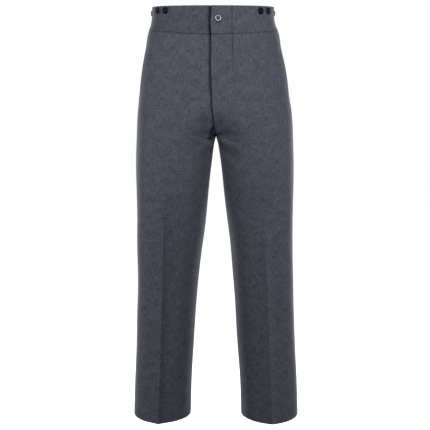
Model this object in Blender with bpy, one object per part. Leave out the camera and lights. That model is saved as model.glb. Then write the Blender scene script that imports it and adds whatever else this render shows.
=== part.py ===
"""Military trousers in blue-grey wool, high in the waist and straight in the leg, hollow as when worn.

Every panel is cut from one form. At each level the form has a closed section of so many millimetres
wide and deep: one ring round the hips, which parts at the fork into a ring for each leg. A panel is a
wall between two lines on that form, laid out by its distance along the section.

Tables and named sizes are in millimetres, and meshes are in metres. +Z is up, the front faces -Y, and
the wearer's left is +X. The origin is the centre of the waist opening, level with its top edge.
"""

from typing import NamedTuple

import bpy
import numpy as np

MM = 0.001

# Cloth, seams and levels
CLOTH = 1.6
BAND_CLOTH = 3.0
HEM_CLOTH = 3.2
SEAM_GAP = 0.3
UNDER_GAP = 0.7
WAIST_SEAM = -66.0
FORK = -331.0
HEM_TOP = -1084.0

# The waist seam falls at the centre of the front and rises to the sides
SEAM_FALL_FRONT = -4.0
SEAM_RISE_SIDE = 5.0
SEAM_RISE_BACK = 1.0
TILT_FADES_BY = -200.0

# Roundness of the hips, 2 for an ellipse and more for a squarer ring
HIP_ROUNDNESS_FRONT = 2.3
HIP_ROUNDNESS_BACK = 2.2

# How the hips turn into legs: the levels where the centre line starts to run under, how much lower the
# change ends beside it, how wide the groove between the thighs is where it starts, as a share of a thigh,
# and the levels between which a thigh rounds out
FRONT_BEND = -245.0
BACK_BEND = -215.0
GROOVE_LATER = 90.0
GROOVE_SHARE = 0.6
GROOVE_START = 0.5
THIGH_TOP = -150.0
THIGH_ROUND = -430.0
RESAMPLE_TOP = -200.0

# The fly: the left front laps over the right one
FLY_END = -292.0
FLY_TAPER = 44.0
FLY_SETTLES = 22.0
UNDERLAP = 35.0
DIP_REACH = 3.0
DIP_FADE = 13.0

# Side pocket mouths
MOUTH_TOP = -84.0
MOUTH_END = -246.0
MOUTH_GAPE = 4.5
MOUTH_LIFT = 1.4
MOUTH_LIFT_REACH = 24.0
FACING_WIDTH = 34.0
FACING_MARGIN = 12.0

# Share of the half-width over which the fold of a pressed crease is rounded
CREASE_ROUND = 0.03

# Points in a quarter of a section, and the angle in degrees from which an edge is shaded sharp
SAMPLES = 181
SHARP_ANGLE = 40


class Section(NamedTuple):
    """Outside of the form at one level: side seams across, then the depths before and behind them."""

    level: float
    right_seam: float
    left_seam: float
    side_y: float
    front: float
    back: float


SECTIONS = [
    Section(0, -156.5, 156.5, 0, 112, 112),
    Section(-30, -157, 157, 0, 113, 114),
    Section(-50, -160.5, 161, 0, 114, 117),
    Section(-66, -166, 168, 0, 115, 119),
    Section(-105, -174, 176, 0, 117, 126),
    Section(-165, -184, 189.5, 0, 119, 135),
    Section(-230, -192, 199.5, 2, 120, 141),
    Section(-290, -198.5, 207.5, 5, 119, 139),
    Section(-335, -201, 210, 8, 117, 129),
    Section(-398, -204, 213, 10, 112, 114),
    Section(-485, -205.5, 213.5, 11, 106, 102),
    Section(-573, -204.5, 214.5, 12, 100, 94),
    Section(-663, -205, 215, 14, 95, 88),
    Section(-754, -206, 220, 16, 91, 85),
    Section(-846, -210, 225, 18, 88, 82),
    Section(-940, -213.5, 230, 20, 86, 80),
    Section(-1036, -218.5, 234.5, 22, 84, 79),
    Section(-1120, -221.5, 238.5, 24, 83, 78),
]


class Inseam(NamedTuple):
    """Where the inner side of each leg runs, from the fork down."""

    level: float
    right: float
    left: float


INSEAMS = [
    Inseam(-331, 8, 8),
    Inseam(-355, 3, 13),
    Inseam(-398, -3, 20),
    Inseam(-485, -13, 30),
    Inseam(-573, -23, 40),
    Inseam(-663, -34, 50),
    Inseam(-754, -43, 59),
    Inseam(-846, -50, 65),
    Inseam(-940, -56, 71),
    Inseam(-1036, -61, 77),
    Inseam(-1120, -64, 79),
]


class Line(NamedTuple):
    """Lines of the cut that move with the level, as distances along or across the section."""

    level: float
    centre: float
    seam_forward: float
    fly_lap: float


LINES = [
    Line(0, 0, 12, 7),
    Line(-45, 0, 14, 11),
    Line(-72, 1, 16, 9),
    Line(-133, 3, 20, 9),
    Line(-235, 6, 20, 9),
    Line(-335, 8, 12, 8),
    Line(-450, 8, 4, 8),
    Line(-600, 8, 0, 8),
    Line(-1120, 8, 0, 8),
]


class Crease(NamedTuple):
    """Pressed crease of each leg: its sharpness, and how far the fold lies outward of the middle."""

    level: float
    right_sharp: float
    left_sharp: float
    right_out: float
    left_out: float


CREASES = [
    Crease(-250, 0, 0, 0, 0),
    Crease(-430, 0, 0, 10, 7),
    Crease(-560, 0.12, 0.08, 16, 10),
    Crease(-700, 0.22, 0.15, 13, 8),
    Crease(-850, 0.27, 0.19, 10, 6),
    Crease(-1120, 0.28, 0.2, 8, 4),
]

# Rows and columns of the panels, closest together where the cloth bends most
PANEL_LEVELS = [
    -66, -84, -110, -140, -170, -200, -225, -246, -264, -282, -298, -311, -321, -328, -331, -338,
    -352, -375, -405, -450, -505, -570, -640, -720, -800, -880, -960, -1030, -1083, -1085, -1120,
]
BAND_LEVELS = [0, -22, -44, -66]
SHIELD_ROWS = 8
POCKET_LEVELS = [-72, -84, -110, -140, -170, -200, -225, -246, -258]
COLUMNS = [0, 0.05, 0.13, 0.23, 0.33, 0.42, 0.475, 0.5, 0.525, 0.58, 0.67, 0.77, 0.87, 0.95, 1]
BAND_COLUMNS = [0, 0.03, 0.07, 0.12, 0.2, 0.3, 0.4, 0.5, 0.6, 0.7, 0.8, 0.9, 1]
STRIP_COLUMNS = [0, 0.33, 0.67, 1]

# The wearer's sides
LEFT = 1
RIGHT = -1
SIDE_NAMES = {LEFT: "left", RIGHT: "right"}


class Button(NamedTuple):
    """Where a button is sewn: before or behind the sides, how far out from the centre, and its level."""

    name: str
    side: int
    behind: bool
    out: float
    level: float


BRACE_BUTTONS = [
    Button("brace_button_front_right_outer", RIGHT, False, 138, -12),
    Button("brace_button_front_right_inner", RIGHT, False, 117.5, -12),
    Button("brace_button_front_left_inner", LEFT, False, 118, -13),
    Button("brace_button_front_left_outer", LEFT, False, 138, -13),
    Button("brace_button_back_right", RIGHT, True, 28, -13),
    Button("brace_button_back_left", LEFT, True, 28, -13),
]
SIDE_BUTTONS = [
    Button("side_button_right", RIGHT, False, 158, -17),
    Button("side_button_left", LEFT, False, 158, -17),
]
WAIST_BUTTON = Button("waist_button", LEFT, False, 13, -29)


class Turn(NamedTuple):
    """One ring of a turned button, from its back to the middle of its face."""

    radius: float
    height: float


BRACE_PROFILE = [
    Turn(6.6, 0),
    Turn(8.4, 0.9),
    Turn(8.6, 1.8),
    Turn(7.6, 2.8),
    Turn(6.2, 2.8),
    Turn(5, 2.1),
    Turn(0, 2),
]
SIDE_PROFILE = [Turn(5.4, 0), Turn(6.9, 0.8), Turn(7, 1.7), Turn(6, 2.5), Turn(4, 2), Turn(0, 1.9)]
WAIST_PROFILE = [
    Turn(3, 0),
    Turn(3, 1.2),
    Turn(7.6, 1.4),
    Turn(8, 2.1),
    Turn(7.4, 3),
    Turn(6.1, 3),
    Turn(4.8, 2.1),
    Turn(0, 1.9),
]
BUTTON_SIDES = 20


class Finish(NamedTuple):
    """Colour, roughness and metallic value of a material."""

    name: str
    colour: tuple
    roughness: float
    metallic: float


WOOL = Finish("blue_grey_wool", (0.075, 0.08, 0.105), 0.92, 0.0)
METAL = Finish("dull_metal", (0.42, 0.42, 0.43), 0.42, 0.9)
HORN = Finish("black_horn", (0.012, 0.012, 0.013), 0.38, 0.0)


def follow(table, column, levels):
    """Smooth curve through one column of a table: cubic pieces that share their slopes."""
    known = np.array([row.level for row in table], float)[::-1]
    values = np.array([getattr(row, column) for row in table], float)[::-1]
    slopes = np.gradient(values, known)
    levels = np.clip(levels, known[0], known[-1])
    piece = np.clip(np.searchsorted(known, levels) - 1, 0, len(known) - 2)
    span = known[piece + 1] - known[piece]
    t = (levels - known[piece]) / span
    start, end = values[piece], values[piece + 1]
    rise = (2 * t**3 - 3 * t**2 + 1) * start + (3 * t**2 - 2 * t**3) * end
    lean = (t**3 - 2 * t**2 + t) * slopes[piece] + (t**3 - t**2) * slopes[piece + 1]
    return rise + span * lean


def ease(share):
    """0 to 1, leaving and arriving level."""
    share = np.clip(share, 0, 1)
    return share * share * (3 - 2 * share)


def groove(share, level, bend):
    """How much of its depth the section loses between the thighs, 0 to 1.

    On the centre line the loss follows a quarter ellipse over the levels, so that the seam runs down and
    then under to the fork. Beside it the change ends lower and is gentler.

    Args: share is the distance from the centre line or inseam as a share of half a thigh, level is a
    column of levels, bend is the level where the centre line starts to run under.
    """
    aside = np.sin(np.pi / 2 * np.minimum(share / GROOVE_SHARE, 1))
    gone = np.clip((bend - level) / (bend - FORK + GROOVE_LATER * aside), 0, 1)
    deep = (1 - aside) * (1 - np.sqrt(1 - gone**2)) + aside * ease(gone)
    reach = np.clip((bend - level) / (bend - FORK), 0, 1)
    wide = np.clip(share / (GROOVE_START + (1 - GROOVE_START) * reach), 0, 1)
    soft = (1 + np.cos(np.pi * wide)) / 2
    steep = 1 - np.sqrt(1 - (1 - wide) ** 2)
    return deep * ((1 - deep) * soft + deep * steep)


def half_outline(side, level, behind):
    """Quarter of the section from the centre line or inseam to the side: offsets outward and in depth.

    The hips are a superellipse, and a thigh is an ellipse beside the centre line, which rounds out of the
    hips from THIGH_TOP to THIGH_ROUND. The pressed crease mixes in straight sides that meet at a peak.

    Args: side is LEFT or RIGHT, level is a column of levels, behind is True for the back.
    """
    sharp_column, fold_column = ("left_sharp", "left_out") if side == LEFT else ("right_sharp", "right_out")
    centre = follow(LINES, "centre", level)
    width = side * (follow(SECTIONS, "left_seam" if side == LEFT else "right_seam", level) - centre)
    inseam = side * (follow(INSEAMS, "left" if side == LEFT else "right", level) - centre)
    inner = np.where(level < FORK, np.maximum(inseam, 0), 0)
    middle, half = (width + inner) / 2, (width - inner) / 2
    roundness = HIP_ROUNDNESS_BACK if behind else HIP_ROUNDNESS_FRONT
    turn = np.linspace(0, 1, SAMPLES)[None, :]
    hip_out = width * np.sin(turn * np.pi / 2) ** (2 / roundness)
    leg_out = middle - half * np.cos(turn * np.pi)
    out = hip_out + (leg_out - hip_out) * ease((RESAMPLE_TOP - level) / (RESAMPLE_TOP - FORK))
    hip = (1 - np.minimum(out / width, 1) ** roundness) ** (1 / roundness)
    beyond = np.clip((out - middle) / half, 0, 1)
    rounded = ease((THIGH_TOP - level) / (THIGH_TOP - THIGH_ROUND))
    deep = (1 - rounded) * hip + rounded * np.sqrt(1 - beyond**2)
    deep = deep * (1 - groove((out - inner) / half, level, BACK_BEND if behind else FRONT_BEND))
    blunt = np.hypot((out - middle) / half, CREASE_ROUND) - CREASE_ROUND
    peak = 1 - blunt / (np.hypot(1, CREASE_ROUND) - CREASE_ROUND)
    deep = deep + follow(CREASES, sharp_column, level) * (peak - deep)
    if not behind:
        out = out + follow(CREASES, fold_column, level) * deep * ease((out - inner) / half)
    return out, follow(SECTIONS, "back" if behind else "front", level) * deep


class Rows:
    """Half sections of one side of the form, one for each level, with distances along them."""

    def __init__(self, side, levels):
        self.side = side
        self.levels = np.array(levels, float)[:, None]
        front_out, front_deep = half_outline(side, self.levels, False)
        back_out, back_deep = half_outline(side, self.levels, True)
        middle = follow(SECTIONS, "side_y", self.levels)
        self.out = np.hstack([front_out, back_out[:, -2::-1]])
        self.y = np.hstack([middle - front_deep, middle + back_deep[:, -2::-1]])
        steps = np.hypot(np.diff(self.out, axis=1), np.diff(self.y, axis=1))
        self.run = np.hstack([np.zeros_like(self.levels), np.cumsum(steps, axis=1)])
        self.end = self.run[:, -1:]
        self.seam = self.run[:, SAMPLES - 1 : SAMPLES] - follow(LINES, "seam_forward", self.levels)
        self.front_fold = self.run[:, SAMPLES // 2 : SAMPLES // 2 + 1]
        self.back_fold = self.run[:, -1 - SAMPLES // 2 :][:, :1]

    def at(self, distance):
        """Points at these distances along the rows: outward, depth. Less than 0 is past the centre."""
        out, y = np.empty_like(distance), np.empty_like(distance)
        for row, wanted in enumerate(distance):
            out[row] = np.interp(wanted, self.run[row], self.out[row])
            y[row] = np.interp(wanted, self.run[row], self.y[row])
        return out, y


def tilt(distance, seam, end, level):
    """How far the waist seam and the rows near it lie above or below their level."""
    ahead = np.clip(distance / seam, 0, 1)
    behind = np.clip((distance - seam) / (end - seam), 0, 1)
    shape = SEAM_FALL_FRONT + (SEAM_RISE_SIDE - SEAM_FALL_FRONT) * ease(ahead)
    shape = shape + (SEAM_RISE_BACK - SEAM_RISE_SIDE) * ease(behind)
    above = level / WAIST_SEAM
    below = (level - TILT_FADES_BY) / (WAIST_SEAM - TILT_FADES_BY)
    return shape * np.clip(np.minimum(above, below), 0, 1)


def surface(side, levels, distance):
    """Points of the form in millimetres, at a grid of distances along the rows of one side."""
    near, far = Rows(side, levels), Rows(-side, levels)
    out, y = near.at(np.maximum(distance, 0))
    far_out, far_y = far.at(np.maximum(-distance, 0))
    past = distance < 0
    out, y = np.where(past, -far_out, out), np.where(past, far_y, y)
    rise = tilt(np.abs(distance), near.seam, near.end, near.levels)
    x = follow(LINES, "centre", near.levels) + side * out
    return np.stack([x, y, near.levels + rise], axis=-1)


def outward(points, side, behind):
    """Unit normals of a grid of points that face out of the garment."""
    across = np.gradient(points, axis=1, edge_order=2)
    down = np.gradient(points, axis=0, edge_order=2)
    normals = np.cross(across, down) * (side if behind else -side)
    return normals / np.linalg.norm(normals, axis=-1, keepdims=True)


def spread(start, fold, end, columns):
    """Distances from start to end over the columns, with the middle column on the fold."""
    columns = np.array(columns)[None, :]
    first = start + (fold - start) * np.minimum(2 * columns, 1)
    return first + (end - fold) * np.maximum(2 * columns - 1, 0)


def keep_to_side(points, side, levels):
    """The same points, kept half a seam gap clear of the centre line."""
    centre = follow(LINES, "centre", np.array(levels, float)[:, None])
    points = points.copy()
    points[..., 0] = centre + side * np.maximum(side * (points[..., 0] - centre), SEAM_GAP / 2)
    return points


def add_material(obj, finish):
    """Gives the object its own Principled material."""
    material = bpy.data.materials.new(f"{obj.name}_{finish.name}")
    material.use_nodes = True
    shader = material.node_tree.nodes["Principled BSDF"]
    shader.inputs["Base Color"].default_value = (*finish.colour, 1)
    shader.inputs["Roughness"].default_value = finish.roughness
    shader.inputs["Metallic"].default_value = finish.metallic
    obj.data.materials.append(material)


def add_mesh(name, points, faces, finish):
    """Makes a named object from points in millimetres."""
    mesh = bpy.data.meshes.new(name)
    mesh.from_pydata((points * MM).tolist(), [], faces)
    obj = bpy.data.objects.new(name, mesh)
    bpy.context.scene.collection.objects.link(obj)
    add_material(obj, finish)
    mesh.shade_smooth()
    mesh.set_sharp_from_angle(angle=np.radians(SHARP_ANGLE))
    return obj


def add_wall(name, outer, inner, finish, flip):
    """Closed solid between two grids of points, with its edges walled round."""
    rows, columns = outer.shape[:2]
    index = np.arange(rows * columns).reshape(rows, columns)
    back = index + rows * columns
    faces = []
    for row in range(rows - 1):
        for column in range(columns - 1):
            corners = (row, column), (row + 1, column), (row + 1, column + 1), (row, column + 1)
            faces.append([index[corner] for corner in corners])
            faces.append([back[corner] for corner in reversed(corners)])
    border = list(index[:, 0]) + list(index[-1, 1:]) + list(index[-2::-1, -1]) + list(index[0, -2:0:-1])
    for this, following in zip(border, border[1:] + border[:1]):
        faces.append([following, this, this + rows * columns, following + rows * columns])
    if flip:
        faces = [face[::-1] for face in faces]
    points = np.concatenate([outer.reshape(-1, 3), inner.reshape(-1, 3)])
    return add_mesh(name, points, [[int(corner) for corner in face] for face in faces], finish)


def cloth_at(levels):
    """Wall thickness of the panels, which is double where the hem is turned up."""
    levels = np.array(levels, float)[:, None, None]
    return np.where(levels < HEM_TOP, HEM_CLOTH, CLOTH)


def fly_lap(levels):
    """How far the left front reaches past the centre line at each level."""
    levels = np.array(levels, float)[:, None]
    return follow(LINES, "fly_lap", levels) * ease((levels - FLY_END) / FLY_TAPER)


def dip(distance, levels, thickness):
    """How far the right side sinks under the lap of the left one."""
    levels = np.array(levels, float)[:, None]
    present = ease((levels - FLY_END + FLY_SETTLES) / FLY_SETTLES)
    beyond = (distance - fly_lap(levels[:, 0]) - DIP_REACH) / DIP_FADE
    return (thickness + UNDER_GAP) * present * (1 - ease(beyond))


def mouth(levels):
    """0 to 1 to 0 along the pocket mouth."""
    levels = np.array(levels, float)[:, None]
    share = np.clip((MOUTH_TOP - levels) / (MOUTH_TOP - MOUTH_END), 0, 1)
    return np.sin(np.pi * share)


def shift_rows(points, top, bottom):
    """The same grid with its first and last rows moved in by these distances down the cloth."""
    points = points.copy()
    for edge, inside, distance in ((0, 1, top), (-1, -2, bottom)):
        way = points[inside] - points[edge]
        points[edge] += distance * way / np.linalg.norm(way, axis=-1, keepdims=True)
    return points


def inside(outer, normals, thickness):
    """Inner face of a wall. Its first and last rows stay level with the outer face."""
    inner = outer - thickness * normals
    inner[[0, -1], :, 2] = outer[[0, -1], :, 2]
    return inner


def add_front(name, side):
    """Front panel. The left one laps past the centre line, and the right one sinks under it."""
    rows = Rows(side, PANEL_LEVELS)
    lap = fly_lap(PANEL_LEVELS) if side == LEFT else 0
    start = SEAM_GAP / 2 - lap
    end = rows.seam - SEAM_GAP / 2 - MOUTH_GAPE * mouth(PANEL_LEVELS)
    distance = spread(start, rows.front_fold, end, COLUMNS)
    form = surface(side, PANEL_LEVELS, distance)
    normals = outward(form, side, False)
    near_mouth = 1 - ease((end - distance) / MOUTH_LIFT_REACH)
    lift = MOUTH_LIFT * mouth(PANEL_LEVELS) * near_mouth
    if side == RIGHT:
        lift = lift - dip(distance, PANEL_LEVELS, CLOTH)
    outer = shift_rows(form + lift[..., None] * normals, SEAM_GAP / 2, 0)
    inner = inside(outer, normals, cloth_at(PANEL_LEVELS))
    if side == RIGHT:
        outer, inner = (keep_to_side(grid, side, PANEL_LEVELS) for grid in (outer, inner))
    else:
        below = np.array(PANEL_LEVELS)[:, None, None] <= FLY_END
        outer = np.where(below, keep_to_side(outer, side, PANEL_LEVELS), outer)
        inner = np.where(below, keep_to_side(inner, side, PANEL_LEVELS), inner)
    add_wall(name, outer, inner, WOOL, side == RIGHT)


def add_back(name, side):
    """Back panel, from the centre seam and inseam round to the side seam."""
    rows = Rows(side, PANEL_LEVELS)
    distance = spread(rows.end - SEAM_GAP / 2, rows.back_fold, rows.seam + SEAM_GAP / 2, COLUMNS)
    form = surface(side, PANEL_LEVELS, distance)
    normals = outward(form, side, True)
    outer = shift_rows(form, SEAM_GAP / 2, 0)
    inner = inside(outer, normals, cloth_at(PANEL_LEVELS))
    outer, inner = (keep_to_side(grid, side, PANEL_LEVELS) for grid in (outer, inner))
    add_wall(name, outer, inner, WOOL, side == LEFT)


def add_band_front(name, side):
    """Front half of the waistband. The right one runs on under the left one as far as the shield."""
    rows = Rows(side, BAND_LEVELS)
    start = SEAM_GAP / 2 - fly_lap(BAND_LEVELS) if side == LEFT else -UNDERLAP + 0 * rows.seam
    end = rows.seam - SEAM_GAP / 2
    distance = start + (end - start) * np.array(BAND_COLUMNS)[None, :]
    form = surface(side, BAND_LEVELS, distance)
    normals = outward(form, side, False)
    outer = form if side == LEFT else form - dip(distance, BAND_LEVELS, BAND_CLOTH)[..., None] * normals
    outer = shift_rows(outer, 0, SEAM_GAP / 2)
    add_wall(name, outer, inside(outer, normals, BAND_CLOTH), WOOL, side == RIGHT)


def add_band_back(name, side):
    """Back half of the waistband, from the side seam to the centre back seam."""
    rows = Rows(side, BAND_LEVELS)
    start, end = rows.end - SEAM_GAP / 2, rows.seam + SEAM_GAP / 2
    distance = start + (end - start) * np.array(BAND_COLUMNS)[None, :]
    form = surface(side, BAND_LEVELS, distance)
    normals = outward(form, side, True)
    outer = shift_rows(form, 0, SEAM_GAP / 2)
    inner = inside(outer, normals, BAND_CLOTH)
    outer, inner = (keep_to_side(grid, side, BAND_LEVELS) for grid in (outer, inner))
    add_wall(name, outer, inner, WOOL, side == LEFT)


def add_strip(name, side, levels, start, end):
    """Narrow piece that lies just under the panels between two distances along the section."""
    distance = start + (end - start) * np.array(STRIP_COLUMNS)[None, :]
    form = surface(side, levels, distance)
    normals = outward(form, side, False)
    outer = form - (CLOTH + UNDER_GAP) * normals
    outer, inner = (keep_to_side(grid, side, levels) for grid in (outer, outer - CLOTH * normals))
    add_wall(name, outer, inner, WOOL, side == RIGHT)


def add_fly_shield():
    """Underlap sewn to the right front, which closes the fly behind the left one."""
    levels = np.array(PANEL_LEVELS[:SHIELD_ROWS], float)
    ones = np.ones((len(levels), 1))
    levels[0] -= SEAM_GAP / 2
    add_strip("fly_shield", LEFT, levels, ones * SEAM_GAP / 2, ones * UNDERLAP)


def add_pocket_facing(side):
    """Strip of cloth behind a pocket mouth, which shows where the mouth gapes."""
    seam = Rows(side, POCKET_LEVELS).seam
    name = f"pocket_facing_{SIDE_NAMES[side]}"
    add_strip(name, side, POCKET_LEVELS, seam - FACING_WIDTH, seam + FACING_MARGIN)


def sewing_place(button):
    """Point on the outside of the waistband for a button, and the direction that its face looks."""
    row = Rows(button.side, [button.level])
    half = slice(None, SAMPLES) if not button.behind else slice(None, SAMPLES - 2, -1)
    arc = np.interp(button.out, row.out[0, half], row.run[0, half])
    levels = button.level + np.array([1, 0, -1])
    patch = surface(button.side, levels, arc + np.array([[-1, 0, 1]] * 3))
    return patch[1, 1], outward(patch, button.side, False)[1, 1]


def add_button(button, profile, finish):
    """Turned button that stands on the waistband: its profile spun about its axis."""
    place, axis = sewing_place(button)
    sideways = np.cross([0, 0, 1], axis)
    sideways /= np.linalg.norm(sideways)
    upward = np.cross(axis, sideways)
    angles = np.linspace(0, 2 * np.pi, BUTTON_SIDES, endpoint=False)
    around = np.outer(np.cos(angles), sideways) + np.outer(np.sin(angles), upward)
    rings = [place + (turn.height + SEAM_GAP) * axis + turn.radius * around for turn in profile[:-1]]
    poles = [place + (turn.height + SEAM_GAP) * axis for turn in (profile[0], profile[-1])]
    first_pole = len(rings) * BUTTON_SIDES
    last_ring = first_pole - BUTTON_SIDES
    faces = []
    for step in range(BUTTON_SIDES):
        after = (step + 1) % BUTTON_SIDES
        faces.append([first_pole, after, step])
        for low in range(0, last_ring, BUTTON_SIDES):
            high = low + BUTTON_SIDES
            faces.append([low + step, low + after, high + after, high + step])
        faces.append([last_ring + step, last_ring + after, first_pole + 1])
    add_mesh(button.name, np.concatenate([*rings, poles]), faces, finish)


def clear_scene():
    """Removes whatever the scene holds."""
    for obj in list(bpy.data.objects):
        bpy.data.objects.remove(obj)


def main():
    """Builds every piece."""
    clear_scene()
    for side, name in SIDE_NAMES.items():
        add_front(f"front_{name}", side)
        add_back(f"back_{name}", side)
        add_band_front(f"waistband_front_{name}", side)
        add_band_back(f"waistband_back_{name}", side)
        add_pocket_facing(side)
    add_fly_shield()
    add_button(WAIST_BUTTON, WAIST_PROFILE, METAL)
    for button in BRACE_BUTTONS:
        add_button(button, BRACE_PROFILE, HORN)
    for button in SIDE_BUTTONS:
        add_button(button, SIDE_PROFILE, HORN)


main()
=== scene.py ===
"""Looks of hollow military trousers in blue-grey wool: cloth, sewing, buttons and a plain studio.

The cloth is laid on the same form as the solids of the frame: at each level a closed section of so many
millimetres wide and deep, one ring round the hips and one round each leg. A place on a panel is its
distance along the section from the centre line or inseam, and its level.

Tables and named sizes are in millimetres, and meshes are in metres. +Z is up, the front faces -Y, and the
wearer's left is +X. The origin is the centre of the waist opening, level with its top edge.
"""

import logging
from dataclasses import dataclass
from enum import Enum
from typing import NamedTuple

import bpy
import numpy as np
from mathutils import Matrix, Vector


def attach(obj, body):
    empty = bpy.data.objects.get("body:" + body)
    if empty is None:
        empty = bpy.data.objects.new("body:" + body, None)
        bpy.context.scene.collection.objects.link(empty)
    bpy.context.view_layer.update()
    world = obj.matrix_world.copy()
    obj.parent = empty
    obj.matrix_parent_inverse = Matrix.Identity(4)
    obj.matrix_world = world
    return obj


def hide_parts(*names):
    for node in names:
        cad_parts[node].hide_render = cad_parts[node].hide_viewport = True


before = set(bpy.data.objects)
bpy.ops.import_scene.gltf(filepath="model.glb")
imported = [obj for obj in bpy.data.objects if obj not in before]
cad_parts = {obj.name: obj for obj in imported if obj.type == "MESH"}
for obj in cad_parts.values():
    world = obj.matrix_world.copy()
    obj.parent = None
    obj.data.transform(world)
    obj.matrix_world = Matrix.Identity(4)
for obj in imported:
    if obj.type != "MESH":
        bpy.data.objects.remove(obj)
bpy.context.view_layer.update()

LOG = logging.getLogger("trousers")
MM = 0.001
BODY = "root"
Array = np.ndarray
Colour = tuple[float, float, float]


class Side(Enum):
    """The wearer's sides. The value is the way that each lies along X."""

    LEFT = 1
    RIGHT = -1

    @property
    def word(self) -> str:
        """The side's name in lower case."""
        return self.name.lower()

    @property
    def other(self) -> "Side":
        """The opposite side."""
        return Side(-self.value)


class Slot(Enum):
    """Material slots."""

    WOOL = "wool"
    BLACK = "black_button"
    METAL = "button_metal"


class Section(NamedTuple):
    """Outside of the form at one level: side seams across, then the depths before and behind them."""

    level: float
    right_seam: float
    left_seam: float
    side_y: float
    front: float
    back: float


class Inseam(NamedTuple):
    """Where the inner side of each leg runs, from the fork down."""

    level: float
    right: float
    left: float


class Line(NamedTuple):
    """Lines of the cut that move with the level, as distances along or across the section."""

    level: float
    centre: float
    seam_forward: float
    fly_lap: float


class Crease(NamedTuple):
    """Pressed crease of each leg: its sharpness, and how far the fold lies outward of the middle."""

    level: float
    right_sharp: float
    left_sharp: float
    right_out: float
    left_out: float


class Wave(NamedTuple):
    """Long soft unevenness of hanging cloth: turns for each metre along the axes, its start and height."""

    across: float
    deep: float
    down: float
    start: float
    height: float


class Fold(NamedTuple):
    """Soft ridge or trough along a bowed line on a panel. Places are (distance, level)."""

    start: tuple[float, float]
    end: tuple[float, float]
    width: float
    height: float
    bow: float = 0


SECTIONS = [
    Section(0, -156.5, 156.5, 0, 112, 112),
    Section(-30, -157, 157, 0, 113, 114),
    Section(-50, -160.5, 161, 0, 114, 117),
    Section(-66, -166, 168, 0, 115, 119),
    Section(-105, -174, 176, 0, 117, 126),
    Section(-165, -184, 189.5, 0, 119, 135),
    Section(-230, -192, 199.5, 2, 120, 141),
    Section(-290, -198.5, 207.5, 5, 119, 139),
    Section(-335, -201, 210, 8, 117, 129),
    Section(-398, -204, 213, 10, 112, 114),
    Section(-485, -205.5, 213.5, 11, 106, 102),
    Section(-573, -204.5, 214.5, 12, 100, 94),
    Section(-663, -205, 215, 14, 95, 88),
    Section(-754, -206, 220, 16, 91, 85),
    Section(-846, -210, 225, 18, 88, 82),
    Section(-940, -213.5, 230, 20, 86, 80),
    Section(-1036, -218.5, 234.5, 22, 84, 79),
    Section(-1120, -221.5, 238.5, 24, 83, 78),
]

INSEAMS = [
    Inseam(-331, 8, 8),
    Inseam(-355, 3, 13),
    Inseam(-398, -3, 20),
    Inseam(-485, -13, 30),
    Inseam(-573, -23, 40),
    Inseam(-663, -34, 50),
    Inseam(-754, -43, 59),
    Inseam(-846, -50, 65),
    Inseam(-940, -56, 71),
    Inseam(-1036, -61, 77),
    Inseam(-1120, -64, 79),
]

LINES = [
    Line(0, 0, 12, 3.5),
    Line(-45, 0, 14, 6),
    Line(-72, 1, 16, 5),
    Line(-133, 3, 20, 7.8),
    Line(-235, 5, 20, 7.2),
    Line(-298, 3.5, 15, 3),
    Line(-335, 8, 12, 8),
    Line(-450, 8, 4, 8),
    Line(-600, 8, 0, 8),
    Line(-1120, 8, 0, 8),
]

CREASES = [
    Crease(-250, 0, 0, 0, 0),
    Crease(-430, 0, 0, 10, 7),
    Crease(-560, 0.12, 0.08, 16, 10),
    Crease(-700, 0.22, 0.15, 13, 8),
    Crease(-850, 0.27, 0.19, 10, 6),
    Crease(-1120, 0.28, 0.2, 8, 4),
]

WAVES = [
    Wave(3.1, 1.7, 1.3, 0.15, 0.9),
    Wave(-2.3, 3.4, 2.6, 0.55, 0.7),
    Wave(5.4, -2.2, 3.9, 0.8, 0.4),
    Wave(1.6, 4.6, -5.3, 0.35, 0.35),
]

# Soft folds of each panel, the wearer's left first. Ridges are above 0 and troughs below. Distances are
# from the centre line or inseam, also on the back
FRONT_FOLDS = {
    Side.LEFT: [
        Fold((10, -318), (120, -346), 8, -3.2, 6),
        Fold((20, -334), (132, -368), 9, 3.2, 7),
        Fold((24, -356), (116, -402), 9, -3.0, 8),
        Fold((42, -372), (124, -430), 12, 1.1, 6),
        Fold((16, -142), (82, -112), 11, 0.9, 4),
        Fold((24, -186), (108, -152), 14, -0.9, 5),
        Fold((60, -262), (168, -236), 16, -0.8, -6),
        Fold((196, -214), (252, -286), 12, 0.9, 6),
        Fold((70, -690), (250, -664), 24, -0.9, 10),
        Fold((96, -742), (236, -766), 22, 0.8, -8),
        Fold((112, -980), (238, -1002), 22, -0.7, 6),
    ],
    Side.RIGHT: [
        Fold((12, -316), (108, -340), 8, -2.6, 5),
        Fold((18, -334), (118, -374), 9, 2.6, 6),
        Fold((22, -358), (100, -412), 10, -2.8, 7),
        Fold((30, -104), (96, -96), 10, -0.7, 3),
        Fold((26, -206), (118, -176), 15, 0.8, 5),
        Fold((64, -268), (160, -246), 15, -0.8, -5),
        Fold((186, -226), (246, -302), 13, 0.9, 6),
        Fold((66, -668), (236, -698), 24, -0.8, -9),
        Fold((104, -760), (246, -742), 20, 0.8, 7),
        Fold((88, -1012), (226, -990), 22, 0.6, 6),
    ],
}
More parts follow.
